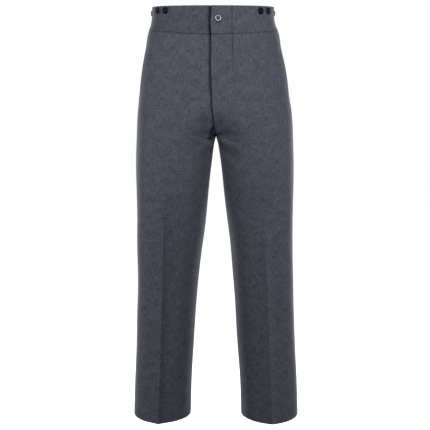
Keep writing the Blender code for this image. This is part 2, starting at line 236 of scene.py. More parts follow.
BACK_FOLDS = {
    Side.LEFT: [
        Fold((36, -336), (186, -372), 11, -3.4, 12),
        Fold((46, -356), (204, -402), 12, 3.0, 12),
        Fold((44, -384), (176, -440), 13, -2.6, 12),
        Fold((60, -420), (172, -478), 14, 1.8, 8),
        Fold((40, -286), (122, -262), 12, -1.4, -6),
        Fold((60, -654), (262, -676), 20, -2.2, 10),
        Fold((52, -684), (238, -706), 18, 2.0, 9),
        Fold((84, -716), (268, -728), 17, -1.6, -8),
        Fold((120, -128), (216, -172), 15, 1.0, 6),
        Fold((64, -980), (232, -1010), 22, -1.0, 8),
    ],
    Side.RIGHT: [
        Fold((38, -330), (170, -362), 11, -3.0, 11),
        Fold((42, -350), (194, -394), 12, 3.2, 13),
        Fold((48, -378), (168, -428), 13, -2.4, 10),
        Fold((64, -410), (190, -474), 15, 1.6, 9),
        Fold((36, -276), (110, -256), 12, -1.3, -5),
        Fold((72, -662), (252, -644), 19, 1.9, -9),
        Fold((58, -690), (258, -672), 18, -2.1, -8),
        Fold((76, -724), (226, -712), 18, 1.4, 7),
        Fold((112, -140), (206, -196), 15, -1.0, 6),
        Fold((72, -960), (226, -938), 22, 0.9, -8),
    ],
}


def cubic(values: Array, piece: Array, t: Array, slopes: Array, span: Array | float = 1) -> Array:
    """Cubic pieces between neighbouring values.

    Args:
        values: the values, one for each knot.
        piece: number of the knot that each piece starts at.
        t: how far along its piece each place lies, 0 to 1.
        slopes: slope at each knot.
        span: length of each piece.

    Returns:
        The curve's values.
    """
    rise = (2 * t**3 - 3 * t**2 + 1) * values[piece] + (3 * t**2 - 2 * t**3) * values[piece + 1]
    lean = (t**3 - 2 * t**2 + t) * slopes[piece] + (t**3 - t**2) * slopes[piece + 1]
    return rise + span * lean


def follow(table: list, column: str, levels: Array) -> Array:
    """Smooth curve through one column of a table: cubic pieces that share their slopes at the rows.

    Args:
        table: rows with a level, from the top down.
        column: name of the column.
        levels: where to read it, of any shape.

    Returns:
        The values at those levels.
    """
    known = np.array([row.level for row in table], float)[::-1]
    values = np.array([getattr(row, column) for row in table], float)[::-1]
    levels = np.clip(levels, known[0], known[-1])
    piece = np.clip(np.searchsorted(known, levels) - 1, 0, len(known) - 2)
    span = known[piece + 1] - known[piece]
    return cubic(values, piece, (levels - known[piece]) / span, np.gradient(values, known), span)


def smooth_through(values: Array, share: Array) -> Array:
    """Cubic curve through evenly numbered values, read at places between their numbers."""
    piece = np.clip(share.astype(int), 0, len(values) - 2)
    return cubic(values, piece, share - piece, np.gradient(values))


def ease(share: Array) -> Array:
    """0 to 1, leaving and arriving level: 3 s squared less 2 s cubed."""
    share = np.clip(share, 0, 1)
    return share * share * (3 - 2 * share)


def bell(distance: Array, width: float) -> Array:
    """1 at distance 0, falling off both ways as the normal curve of that width."""
    return np.exp(-((distance / width) ** 2))


def unit(vectors: Array) -> Array:
    """The same vectors at length 1."""
    return vectors / np.linalg.norm(vectors, axis=-1, keepdims=True)


@dataclass(frozen=True)
class Form:
    """The shape that the cloth lies on, with the sizes that the sewing shares."""

    samples: int = 241
    waist_seam: float = -66
    fork: float = -331
    hem_top: float = -1084
    hem: float = -1120
    seam_fall_front: float = -4
    seam_rise_side: float = 5
    seam_rise_back: float = 1
    tilt_fades_by: float = -200
    roundness_front: float = 2.3
    roundness_back: float = 2.2
    bend_front: float = -245
    bend_back: float = -215
    groove_later: float = 90
    groove_share: float = 0.6
    groove_start: float = 0.5
    thigh_top: float = -150
    thigh_round: float = -430
    resample_top: float = -200
    crease_round: float = 0.03
    fly_end: float = -292
    fly_taper: float = 44
    underlap: float = 35
    fork_round: float = 10
    fork_fade: float = 15
    mouth_top: float = -84
    mouth_end: float = -246
    half_gap: float = 0.005

    def groove(self, share: Array, level: Array, bend: float) -> Array:
        """How much of its depth the section loses between the thighs, 0 to 1.

        On the centre line the loss follows a quarter ellipse over the levels, so that the seam runs down
        and then under to the fork. Beside it the change ends lower and is gentler.

        Args:
            share: distance from the centre line or inseam, as a share of half a thigh.
            level: column of levels.
            bend: level where the centre line starts to run under.

        Returns:
            The share of the depth that is lost.
        """
        aside = np.sin(np.pi / 2 * np.minimum(share / self.groove_share, 1))
        gone = np.clip((bend - level) / (bend - self.fork + self.groove_later * aside), 0, 1)
        deep = (1 - aside) * (1 - np.sqrt(1 - gone**2)) + aside * ease(gone)
        reach = np.clip((bend - level) / (bend - self.fork), 0, 1)
        wide = np.clip(share / (self.groove_start + (1 - self.groove_start) * reach), 0, 1)
        soft = (1 + np.cos(np.pi * wide)) / 2
        steep = 1 - np.sqrt(1 - (1 - wide) ** 2)
        return deep * ((1 - deep) * soft + deep * steep)

    def half_outline(self, side: Side, level: Array, behind: bool) -> tuple[Array, Array]:
        """Quarter of the section, from the centre line or inseam to the side.

        The hips are a superellipse. A thigh is an ellipse beside the centre line and rounds out of the
        hips from thigh_top to thigh_round. A pressed crease mixes in straight sides that meet at a peak.

        Args:
            side: which half of the body.
            level: column of levels.
            behind: True for the back.

        Returns:
            Offsets outward and in depth, a row for each level.
        """
        centre = follow(LINES, "centre", level)
        width = side.value * (follow(SECTIONS, f"{side.word}_seam", level) - centre)
        inseam = side.value * (follow(INSEAMS, side.word, level) - centre)
        inner = np.where(level < self.fork, np.maximum(inseam, 0), 0)
        middle, half = (width + inner) / 2, (width - inner) / 2
        roundness = self.roundness_back if behind else self.roundness_front
        turn = np.linspace(0, 1, self.samples)[None, :]
        hip_out = width * np.sin(turn * np.pi / 2) ** (2 / roundness)
        leg_out = middle - half * np.cos(turn * np.pi)
        legs = ease((self.resample_top - level) / (self.resample_top - self.fork))
        out = hip_out + (leg_out - hip_out) * legs
        hip = (1 - np.minimum(out / width, 1) ** roundness) ** (1 / roundness)
        beyond = np.clip((out - middle) / half, 0, 1)
        rounded = ease((self.thigh_top - level) / (self.thigh_top - self.thigh_round))
        deep = (1 - rounded) * hip + rounded * np.sqrt(1 - beyond**2)
        bend = self.bend_back if behind else self.bend_front
        deep = deep * (1 - self.groove((out - inner) / half, level, bend))
        blunt = np.hypot((out - middle) / half, self.crease_round) - self.crease_round
        peak = 1 - blunt / (np.hypot(1, self.crease_round) - self.crease_round)
        deep = deep + follow(CREASES, f"{side.word}_sharp", level) * (peak - deep)
        if not behind:
            fold = follow(CREASES, f"{side.word}_out", level)
            out = out + fold * deep * ease((out - inner) / half)
        return out, follow(SECTIONS, "back" if behind else "front", level) * deep

    def tilt(self, distance: Array, rows: "Rows") -> Array:
        """How far the waist seam and the rows near it lie above or below their level."""
        ahead = np.clip(distance / rows.seam, 0, 1)
        behind = np.clip((distance - rows.seam) / (rows.end - rows.seam), 0, 1)
        shape = self.seam_fall_front + (self.seam_rise_side - self.seam_fall_front) * ease(ahead)
        shape = shape + (self.seam_rise_back - self.seam_rise_side) * ease(behind)
        above = rows.levels / self.waist_seam
        below = (rows.levels - self.tilt_fades_by) / (self.waist_seam - self.tilt_fades_by)
        return shape * np.clip(np.minimum(above, below), 0, 1)

    def surface(self, side: Side, levels: Array, distance: Array) -> Array:
        """Points of the form at distances along the rows of one side. Less than 0 is past the centre."""
        near, far = Rows(self, side, levels), Rows(self, side.other, levels)
        out, y = near.at(distance)
        far_out, far_y = far.at(-distance)
        past = distance < 0
        out, y = np.where(past, -far_out, out), np.where(past, far_y, y)
        x = follow(LINES, "centre", near.levels) + side.value * out
        return np.stack([x, y, near.levels + self.tilt(np.abs(distance), near)], axis=-1)

    def cloth(self, side: Side, levels: Array, distance: Array) -> Array:
        """The surface with the fold at the fork rounded: the mean of places somewhat above and below.

        The places are carried from row to row, so that the side seam stays on its line, and the rounding
        eases in away from the first column, which keeps the centre seam and the inseam closed.
        """
        points = self.surface(side, levels, distance)
        near = np.abs(levels - self.fork) < 2.2 * self.fork_fade
        if not near.any():
            return points
        rows = Rows(self, side, levels[near])
        reach = self.fork_round * bell(levels[near] - self.fork, self.fork_fade)
        steps = np.linspace(-1, 1, 7)
        total = np.zeros_like(points[near])
        for step in steps:
            moved = levels[near] + step * reach
            total = total + self.surface(side, moved, rows.carry(distance[near], Rows(self, side, moved)))
        inward = ease(np.abs(distance[near] - distance[near][:, :1]) / 36)[..., None]
        points[near] += inward * (total / len(steps) - points[near])
        return points

    def outward(self, side: Side, levels: Array, distance: Array) -> Array:
        """Unit normals of the form, from points a millimetre to each side, above and below."""
        across = self.surface(side, levels, distance + 1) - self.surface(side, levels, distance - 1)
        down = self.surface(side, levels - 1, distance) - self.surface(side, levels + 1, distance)
        return unit(np.cross(across, down)) * -side.value

    def fly_lap(self, levels: Array) -> Array:
        """How far the left front reaches past the centre line."""
        return follow(LINES, "fly_lap", levels) * ease((levels - self.fly_end) / self.fly_taper)

    def mouth(self, levels: Array) -> Array:
        """0 to 1 to 0 along a pocket mouth, as half a sine."""
        return np.sin(np.pi * np.clip((self.mouth_top - levels) / (self.mouth_top - self.mouth_end), 0, 1))


class Rows:
    """Half sections of one side of the form, one for each level, with distances along them."""

    def __init__(self, form: Form, side: Side, levels: Array) -> None:
        """Works out the sections.

        Args:
            form: the form.
            side: which half of the body.
            levels: the levels, one row each.
        """
        self.form, self.side = form, side
        self.levels = np.asarray(levels, float)[:, None]
        front_out, front_deep = form.half_outline(side, self.levels, False)
        back_out, back_deep = form.half_outline(side, self.levels, True)
        middle = follow(SECTIONS, "side_y", self.levels)
        self.out = np.hstack([front_out, back_out[:, -2::-1]])
        self.y = np.hstack([middle - front_deep, middle + back_deep[:, -2::-1]])
        steps = np.hypot(np.diff(self.out, axis=1), np.diff(self.y, axis=1))
        self.run = np.hstack([np.zeros_like(self.levels), np.cumsum(steps, axis=1)])
        self.end = self.run[:, -1:]
        self.seam = self.run[:, [form.samples - 1]] - follow(LINES, "seam_forward", self.levels)
        self.front_fold = self.run[:, [form.samples // 2]]
        self.back_fold = self.run[:, [-1 - form.samples // 2]]

    def at(self, distance: Array) -> tuple[Array, Array]:
        """Offsets outward and in depth at distances along the rows, in one pass over all of them."""
        shift = (self.run.max() + 1) * np.arange(len(self.run))[:, None]
        known = (self.run + shift).ravel()
        wanted = np.clip(distance, 0, self.end) + shift
        return np.interp(wanted, known, self.out.ravel()), np.interp(wanted, known, self.y.ravel())

    def carry(self, distance: Array, there: "Rows") -> Array:
        """The same places on other rows: distances stretch between the folds, the side seam and the ends.

        Args:
            distance: distances along these rows.
            there: as many other rows.

        Returns:
            The distances along the other rows.
        """
        here, other = (
            np.hstack([0 * rows.end, rows.front_fold, rows.seam, rows.back_fold, rows.end])
            for rows in (self, there)
        )
        piece = (distance[..., None] > here[:, None, 1:-1]).sum(axis=-1)
        low, high = np.take_along_axis(here, piece, 1), np.take_along_axis(here, piece + 1, 1)
        start, end = np.take_along_axis(other, piece, 1), np.take_along_axis(other, piece + 1, 1)
        return start + (distance - low) / (high - low) * (end - start)

    def slack(self, behind: bool) -> Array:
        """Extra length from the centre to the fold, past that of the level where the bend starts.

        Args:
            behind: True for the fold of the back.

        Returns:
            The extra length of each row, 0 at the least.
        """
        bend = Rows(self.form, self.side, [self.form.bend_back if behind else self.form.bend_front])
        if behind:
            return np.maximum(self.end - self.back_fold - (bend.end - bend.back_fold), 0)
        return np.maximum(self.front_fold - bend.front_fold, 0)


FORM = Form()


def add_mesh(name: str, points: Array, faces: list, uv: Array | None = None) -> bpy.types.Object:
    """Makes a smooth object from points in millimetres.

    Args:
        name: the piece's name.
        points: its points, one a row.
        faces: arrays of point numbers, each with one face a row.
        uv: a place on the map for each point.

    Returns:
        The object, which sits at the origin.
    """
    mesh = bpy.data.meshes.new(name)
    mesh.from_pydata((points * MM).tolist(), [], [face for block in faces for face in block.tolist()])
    if uv is not None:
        corners = np.empty(len(mesh.loops), int)
        mesh.loops.foreach_get("vertex_index", corners)
        mesh.uv_layers.new(name="cloth").data.foreach_set("uv", uv[corners].ravel())
    mesh.shade_smooth()
    obj = bpy.data.objects.new(name, mesh)
    bpy.context.scene.collection.objects.link(obj)
    return obj


def set_values(obj: bpy.types.Object, name: str, values: Array) -> None:
    """Gives a mesh a number for each point, which its material reads."""
    obj.data.attributes.new(name, "FLOAT", "POINT").data.foreach_set("value", values)


def grid_faces(index: Array) -> Array:
    """Four point numbers for each cell of a grid of numbers, turning from down to across."""
    corners = index[:-1, :-1], index[1:, :-1], index[1:, 1:], index[:-1, 1:]
    return np.stack(corners, axis=-1).reshape(-1, 4)


def closed_wall(outer: Array, inner: Array) -> tuple[Array, Array, Array]:
    """Points and faces of a wall whose two grids share their borders.

    Args:
        outer: grid of points of the face that looks out.
        inner: grid of points of the other face.

    Returns:
        The points, one a row, the numbers of the grid points that they are, and the faces.
    """
    count = outer.shape[0] * outer.shape[1]
    index = np.arange(count).reshape(outer.shape[:2])
    back = index + count
    for border in (np.s_[0], np.s_[-1], np.s_[:, 0], np.s_[:, -1]):
        back[border] = index[border]
    faces = np.concatenate([grid_faces(index), grid_faces(back)[:, ::-1]])
    points = np.concatenate([outer.reshape(-1, 3), inner.reshape(-1, 3)])
    used, faces = np.unique(faces, return_inverse=True)
    return points[used], used, faces.reshape(-1, 4)


def strands(
    paths: Array, sideways: Array, upward: Array, radius: Array, sides: int = 6
) -> tuple[Array, list]:
    """Closed threads along many paths at once.

    Each ring is the path's point plus radius times (cosine of the angle sideways plus its sine upward).
    The first and last points of a path close its ends.

    Args:
        paths: points, as strands by points by 3.
        sideways: unit vectors that the rings use, of the same shape or one that spreads to it.
        upward: the second unit vectors of the rings.
        radius: radius at each inner point of a path.
        sides: corners of a ring.

    Returns:
        The points, one a row, and the blocks of faces.
    """
    count, length = paths.shape[:2]
    angle = np.linspace(0, 2 * np.pi, sides, endpoint=False)
    around = np.cos(angle)[:, None] * sideways[:, :, None] + np.sin(angle)[:, None] * upward[:, :, None]
    around = np.broadcast_to(around, (count, length, sides, 3))[:, 1:-1]
    rings = paths[:, 1:-1, None] + radius[None, :, None, None] * around
    rings_each = (length - 2) * sides
    numbers = np.arange(count * rings_each).reshape(count, length - 2, sides)
    after = np.roll(numbers, -1, axis=2)
    walls = np.stack([numbers[:, :-1], after[:, :-1], after[:, 1:], numbers[:, 1:]], axis=-1)
    tips = count * rings_each + np.arange(2 * count).reshape(count, 2)
    first = np.broadcast_to(tips[:, :1], (count, sides))
    last = np.broadcast_to(tips[:, 1:], (count, sides))
    caps = np.stack([first, after[:, 0], numbers[:, 0]], axis=-1)
    ends = np.stack([last, numbers[:, -1], after[:, -1]], axis=-1)
    points = np.concatenate([rings.reshape(-1, 3), paths[:, [0, -1]].reshape(-1, 3)])
    return points, [walls.reshape(-1, 4), caps.reshape(-1, 3), ends.reshape(-1, 3)]


def threads_on(paths: Array, normals: Array, radius: Array) -> tuple[Array, list]:
    """Closed threads along paths, with their rings square to the paths.

    Args:
        paths: points, as strands by points by 3.
        normals: the way that each point's surface looks.
        radius: radius at each inner point of a path.

    Returns:
        The points, one a row, and the blocks of faces.
    """
    forward = unit(np.gradient(paths, axis=1))
    upward = unit(normals - (normals * forward).sum(axis=-1, keepdims=True) * forward)
    return strands(paths, np.cross(upward, forward), upward, radius)


def fold_relief(folds: list[Fold], distance: Array, level: Array) -> Array:
    """Height of all the folds at places on a panel.

    Each fold is its height times a normal curve across its bowed line, and it eases in and out over the
    first and last third of its length.

    Args:
        folds: the folds.
        distance: distances along the section.
        level: levels, of a shape that spreads to the distances.

    Returns:
        The summed heights.
    """
    total = np.zeros(np.broadcast_shapes(distance.shape, level.shape))
    for fold in folds:
        way = np.subtract(fold.end, fold.start)
        length = np.hypot(*way)
        way = way / length
        ahead = (distance - fold.start[0]) * way[0] + (level - fold.start[1]) * way[1]
        aside = (level - fold.start[1]) * way[0] - (distance - fold.start[0]) * way[1]
        share = np.clip(ahead / length, 0, 1)
        fade = ease(3 * share) * ease(3 * (1 - share))
        total = total + fold.height * fade * bell(aside - fold.bow * 4 * share * (1 - share), fold.width)
    return total


def drape(points: Array) -> Array:
    """Long soft unevenness of the cloth below the waistband, as a sum of sines of the place."""
    total = np.zeros(points.shape[:-1])
    for wave in WAVES:
        turns = points @ np.array([wave.across, wave.deep, wave.down]) * MM + wave.start
        total = total + wave.height * np.sin(2 * np.pi * turns)
    return total * ease((FORM.waist_seam - points[..., 2]) / 80)


class Graph:
    """A node tree with short ways to add nodes and join their sockets."""

    def __init__(self, tree: bpy.types.NodeTree) -> None:
        """Keeps the tree.

        Args:
            tree: the node tree of a material, world or group.
        """
        self.tree = tree

    def node(self, kind: str, **settings: object) -> bpy.types.Node:
        """Adds a node and sets its properties."""
        node = self.tree.nodes.new(kind)
        for name, value in settings.items():
            setattr(node, name, value)
        return node

    def feed(self, socket: bpy.types.NodeSocket, source: object) -> None:
        """Joins an input to an output, or gives it a value."""
        if isinstance(source, bpy.types.NodeSocket):
            self.tree.links.new(source, socket)
        else:
            socket.default_value = source

    def maths(self, operation: str, first: object, second: object = 0.0) -> bpy.types.NodeSocket:
        """One step of arithmetic on two numbers."""
        node = self.node("ShaderNodeMath", operation=operation)
        self.feed(node.inputs[0], first)
        self.feed(node.inputs[1], second)
        return node.outputs[0]

    def blend(self, share: object, first: object, second: object) -> bpy.types.NodeSocket:
        """Colour between two colours."""
        node = self.node("ShaderNodeMix", data_type="RGBA")
        self.feed(node.inputs["Factor"], share)
        self.feed(node.inputs[6], first)
        self.feed(node.inputs[7], second)
        return node.outputs[2]

    def stretch(self, place: object, scale: tuple, turn: float = 0.0) -> bpy.types.NodeSocket:
        """The same places, scaled and turned about Z."""
        node = self.node("ShaderNodeMapping")
        self.feed(node.inputs["Vector"], place)
        node.inputs["Scale"].default_value = scale
        node.inputs["Rotation"].default_value = (0, 0, turn)
        return node.outputs[0]

    def noise(
        self, place: object, scale: object, detail: float = 2.0, bend: float = 0.0
    ) -> bpy.types.NodeSocket:
        """Soft noise from 0 to 1 about a half, with so many lumps for each metre."""
        node = self.node("ShaderNodeTexNoise")
        self.feed(node.inputs["Vector"], place)
        self.feed(node.inputs["Scale"], scale)
        node.inputs["Detail"].default_value = detail
        node.inputs["Distortion"].default_value = bend
        return node.outputs[0]

    def ramp(self, value: object, low: float, high: float) -> bpy.types.NodeSocket:
        """0 at low to 1 at high, held outside them."""
        node = self.node("ShaderNodeMapRange", interpolation_type="SMOOTHSTEP")
        self.feed(node.inputs["Value"], value)
        node.inputs["From Min"].default_value = low
        node.inputs["From Max"].default_value = high
        return node.outputs[0]

    def bump(self, height: object, distance: float, strength: float = 1.0) -> bpy.types.NodeSocket:
        """Normals of a height that is so many metres deep."""
        node = self.node("ShaderNodeBump")
        node.inputs["Strength"].default_value = strength
        node.inputs["Distance"].default_value = distance
        self.feed(node.inputs["Height"], height)
        return node.outputs[0]

    def group(self, name: str, **inputs: object) -> bpy.types.NodeOutputs:
        """Outputs of a shader group with its inputs fed. Colours are given as red, green and blue."""
        node = self.node("ShaderNodeGroup", node_tree=bpy.data.node_groups[name])
        for socket, source in inputs.items():
            self.feed(node.inputs[socket], (*source, 1) if isinstance(source, tuple) else source)
        return node.outputs


def shader_group(name: str, inputs: dict[str, str], outputs: dict[str, str]) -> tuple[Graph, dict, dict]:
    """Starts a shader node group.

    Args:
        name: the group's name.
        inputs: kind of socket by name, such as Float, Color or Vector.
        outputs: the same for what it gives out.

    Returns:
        Its graph, its inputs and its outputs, each socket by name.
    """
    tree = bpy.data.node_groups.new(name, "ShaderNodeTree")
    for way, sockets in (("INPUT", inputs), ("OUTPUT", outputs)):
        for socket, kind in sockets.items():
            tree.interface.new_socket(name=socket, in_out=way, socket_type=f"NodeSocket{kind}")
    graph = Graph(tree)
    given = graph.node("NodeGroupInput").outputs
    asked = graph.node("NodeGroupOutput").inputs
    return graph, {name: given[name] for name in inputs}, {name: asked[name] for name in outputs}


def melange_group() -> bpy.types.NodeTree:
    """Milled wool of dark and light fibres: short hairs both ways, specks, streaks, clouds, a faint twill.

    The tone is a half plus the parts of the noises above or below a half, each times its weight. Twill
    is a sine across lines that climb steeply. Loose hairs are where a bent noise passes a half. The
    wear and painted light input lightens above 0, for rubbing and painted light, and below 0 it darkens
    for painted shade and a set tone of one waistband half.
    """
    graph, given, asked = shader_group(
        "melange",
        {"Place": "Vector", **dict.fromkeys(("Dark", "Light", "Hair"), "Color")}
        | {"Contrast": "Float", "Worn": "Float"},
        {"Colour": "Color", "Roughness": "Float", "Height": "Float"},
    )
    place = given["Place"]
    warp = graph.noise(graph.stretch(place, (1, 0.3, 1), 0.2), 1500.0, 2.0, 0.4)
    weft = graph.noise(graph.stretch(place, (0.3, 1, 1), -0.25), 1500.0, 2.0, 0.4)
    speck = graph.noise(place, 420.0, 3.0)
    streak = graph.noise(graph.stretch(place, (1, 0.22, 1), 0.04), 330.0, 2.0)
    weave = graph.noise(graph.stretch(place, (0.22, 1, 1), -0.03), 330.0, 2.0)
    cloud = graph.noise(place, 42.0, 2.0)
    fibre = graph.maths("MULTIPLY", graph.maths("ADD", warp, weft), 0.5)
    tone = 0.5
    for part, weight in ((fibre, 1.3), (speck, 1.0), (streak, 0.95), (weave, 0.6), (cloud, 0.5)):
        swing = graph.maths("MULTIPLY", graph.maths("SUBTRACT", part, 0.5), weight)
        tone = graph.maths("ADD", tone, graph.maths("MULTIPLY", swing, given["Contrast"]))
    turned = graph.node("ShaderNodeSeparateXYZ")
    graph.feed(turned.inputs[0], graph.stretch(place, (1, 1, 1), 1.1))
    twill = graph.maths("SINE", graph.maths("MULTIPLY", turned.outputs[0], 2 * np.pi * 800))
    tone = graph.maths("ADD", tone, graph.maths("MULTIPLY", twill, 0.03))
    # Above 0 the input is rubbing and painted light; below 0 it is painted shade, plus a set tone on one
    # waistband half
    rubbed = graph.maths("MAXIMUM", given["Worn"], 0.0)
    painted_shade_and_tone = graph.maths("MAXIMUM", graph.maths("MULTIPLY", given["Worn"], -1.0), 0.0)
    tone = graph.maths("ADD", tone, graph.maths("MULTIPLY", rubbed, 0.3))
    wisps = graph.noise(place, 260.0, 2.0, 2.2)
    line = graph.ramp(graph.maths("ABSOLUTE", graph.maths("SUBTRACT", wisps, 0.5)), 0.012, 0.002)
    sparse = graph.ramp(graph.noise(place, 130.0, 1.0), 0.54, 0.64)
    hair = graph.maths("MULTIPLY", line, sparse)
    share = graph.maths("MAXIMUM", graph.maths("MINIMUM", tone, 1.0), 0.0)
    ground = graph.blend(share, given["Dark"], given["Light"])
    ground = graph.blend(graph.maths("MULTIPLY", hair, 0.35), ground, given["Hair"])
    # Painted shade and that tone darken the colour toward black
    graph.feed(asked["Colour"], graph.blend(graph.maths("MULTIPLY", painted_shade_and_tone, 0.96), ground, (0, 0, 0, 1)))
    graph.feed(asked["Roughness"], graph.maths("SUBTRACT", 0.95, graph.maths("MULTIPLY", rubbed, 0.12)))
    nap = graph.maths("ADD", graph.maths("MULTIPLY", fibre, 1.0), graph.maths("MULTIPLY", speck, 0.5))
    nap = graph.maths("ADD", nap, graph.maths("MULTIPLY", twill, 0.08))
    graph.feed(asked["Height"], graph.maths("ADD", nap, graph.maths("MULTIPLY", hair, 0.35)))
    return bpy.data.node_groups["melange"]


def scuff_group() -> bpy.types.NodeTree:
    """Fine scratches and dirt for the buttons. The mask is stretched noise, and dirt grows in hollows."""
    graph, given, asked = shader_group(
        "scuffs",
        {"Place": "Vector", "Hollow": "Float", "Amount": "Float"},
        {"Mask": "Float", "Grime": "Float", "Height": "Float"},
    )
    lines = graph.noise(graph.stretch(given["Place"], (1, 7, 1), 0.6), 900.0, 3.0, 0.5)
    blots = graph.noise(given["Place"], 420.0, 3.0)
    scratch = graph.ramp(lines, 0.55, 0.72)
    graph.feed(asked["Mask"], graph.maths("MULTIPLY", scratch, given["Amount"]))
    grime = graph.maths("ADD", given["Hollow"], graph.maths("MULTIPLY", graph.ramp(blots, 0.55, 0.8), 0.35))
    graph.feed(asked["Grime"], graph.maths("MINIMUM", grime, 1.0))
    graph.feed(asked["Height"], graph.maths("SUBTRACT", blots, graph.maths("MULTIPLY", scratch, 0.4)))
    return bpy.data.node_groups["scuffs"]


def shaded(name: str) -> tuple[bpy.types.Material, Graph, bpy.types.NodeInputs]:
    """A new material with its graph and the inputs of its Principled shader."""
    material = bpy.data.materials.new(name)
    material.use_nodes = True
    return material, Graph(material.node_tree), material.node_tree.nodes["Principled BSDF"].inputs


@dataclass(frozen=True)
class WoolFinish:
    """Blue-grey milled wool with a short nap."""

    name: str = "blue_grey_wool"
    dark: Colour = (0.034, 0.037, 0.052)
    light: Colour = (0.118, 0.124, 0.157)
    hair: Colour = (0.26, 0.27, 0.31)
    contrast: float = 1.15
    sheen: float = 0.22
    sheen_roughness: float = 0.42
    sheen_tint: Colour = (0.72, 0.77, 0.9)
    nap_depth: float = 0.0005

    def material(self) -> bpy.types.Material:
        """Builds the material. It reads the piece's own map and its attribute of wear and painted light."""
        material, graph, shader = shaded(self.name)
        melange = graph.group(
            "melange",
            Place=graph.node("ShaderNodeUVMap", uv_map="cloth").outputs[0],
            Worn=graph.node("ShaderNodeAttribute", attribute_name="worn").outputs["Fac"],
            Dark=self.dark,
            Light=self.light,
            Hair=self.hair,
            Contrast=self.contrast,
        )
        graph.feed(shader["Base Color"], melange["Colour"])
        graph.feed(shader["Roughness"], melange["Roughness"])
        graph.feed(shader["Normal"], graph.bump(melange["Height"], self.nap_depth, 0.7))
        shader["Sheen Weight"].default_value = self.sheen
        shader["Sheen Roughness"].default_value = self.sheen_roughness
        shader["Sheen Tint"].default_value = (*self.sheen_tint, 1)
        shader["Specular IOR Level"].default_value = 0.12
        return material


@dataclass(frozen=True)
class ThreadFinish:
    """Twisted sewing thread."""

    name: str = "dark_thread"
    colour: Colour = (0.035, 0.038, 0.05)
    light: Colour = (0.075, 0.08, 0.1)

    def material(self) -> bpy.types.Material:
        """Builds the material: fine lumps of tone along the thread, and the twist as bump."""
        material, graph, shader = shaded(self.name)
        place = graph.node("ShaderNodeTexCoord").outputs["Object"]
        lumps = graph.noise(place, 2600.0, 2.0, 0.6)
        graph.feed(shader["Base Color"], graph.blend(lumps, (*self.colour, 1), (*self.light, 1)))
        graph.feed(shader["Normal"], graph.bump(graph.noise(place, 5200.0, 1.0), 0.0001))
        shader["Roughness"].default_value = 0.7
        shader["Sheen Weight"].default_value = 0.2
        return material


@dataclass(frozen=True)
class ButtonFinish:
    """Hard finish of a button: its colour, what the dirt in its hollows looks like, and its gloss."""

    name: str
    colour: Colour
    rubbed: Colour
    grime: Colour
    metallic: float
    roughness: float
    scuffs: float
    shine: float = 0.1

    def material(self) -> bpy.types.Material:
        """Builds the material. It reads Object coordinates and the piece's hollow attribute."""
        material, graph, shader = shaded(self.name)
        scuffs = graph.group(
            "scuffs",
            Place=graph.node("ShaderNodeTexCoord").outputs["Object"],
            Hollow=graph.node("ShaderNodeAttribute", attribute_name="hollow").outputs["Fac"],
            Amount=self.scuffs,
        )
        rubbed = graph.blend(scuffs["Mask"], (*self.colour, 1), (*self.rubbed, 1))
        graph.feed(shader["Base Color"], graph.blend(scuffs["Grime"], rubbed, (*self.grime, 1)))
        rough = graph.maths("MULTIPLY", scuffs["Grime"], 0.4)
        graph.feed(shader["Roughness"], graph.maths("ADD", rough, self.roughness))
        bright = graph.maths("SUBTRACT", 1.0, scuffs["Grime"])
        graph.feed(shader["Metallic"], graph.maths("MULTIPLY", bright, self.metallic))
        graph.feed(shader["Normal"], graph.bump(scuffs["Height"], 0.0001, 0.25))
        shader["Specular IOR Level"].default_value = self.shine
        return material


BLACK = ButtonFinish(
    "black_button",
    colour=(0.004, 0.004, 0.005),
    rubbed=(0.016, 0.016, 0.014),
    grime=(0.002, 0.002, 0.002),
    metallic=0,
    roughness=0.42,
    scuffs=0.4,
)
METAL = ButtonFinish(
    "button_metal",
    colour=(0.23, 0.235, 0.25),
    rubbed=(0.36, 0.37, 0.39),
    grime=(0.008, 0.008, 0.01),
    metallic=0.8,
    roughness=0.4,
    scuffs=0.5,
)


def columns_through(stations: list) -> Array:
    """Distances in rows, evenly spread between stations.

    Args:
        stations: pairs of a place, as a column or a number, and how many columns lead up to it.

    Returns:
        The distances, a row for each level.
    """
    height = max(np.shape(place)[0] for place, _ in stations if np.ndim(place))
    places = [np.broadcast_to(np.asarray(place, float), (height, 1)) for place, _ in stations]
    shares = [np.arange(count)[None, :] / count for _, count in stations[1:]]
    blocks = [a + (b - a) * share for a, b, share in zip(places, places[1:], shares)]
    return np.hstack([*blocks, places[-1]])


@dataclass(frozen=True)
class Seam:
    """A pressed seam: its turned edges raise the cloth beside it, and the seam itself sinks and has painted
    shade.
    """

    rise: float = 0.5
    allowance: float = 10
    fade: float = 7
    sink: float = 0.7
    width: float = 1.6
    grime_width: float = 1.5
    waist_sink: float = 0.4
    waist_width: float = 1.5
    waist_grime_width: float = 1.7

    def press(self, distance: Array) -> Array:
        """Relief at distances from a seam that runs down the cloth."""
        raised = self.rise * (1 - ease((distance - self.allowance) / self.fade))
        return raised - self.sink * bell(distance, self.width)

    def grime(self, distance: Array, share: float = 0.5) -> Array:
        """Painted shade as a dark line at distances from such a seam."""
        return share * bell(distance, self.grime_width)

    def waist_relief(self, level: Array) -> Array:
        """Relief of the sunken waist seam."""
        return -self.waist_sink * bell(level - FORM.waist_seam, self.waist_width)

    def waist_grime(self, level: Array, share: float = 0.4) -> Array:
        """Painted shade as a dark line along the sunken waist seam."""
        return share * bell(level - FORM.waist_seam, self.waist_grime_width)


SEAM = Seam()


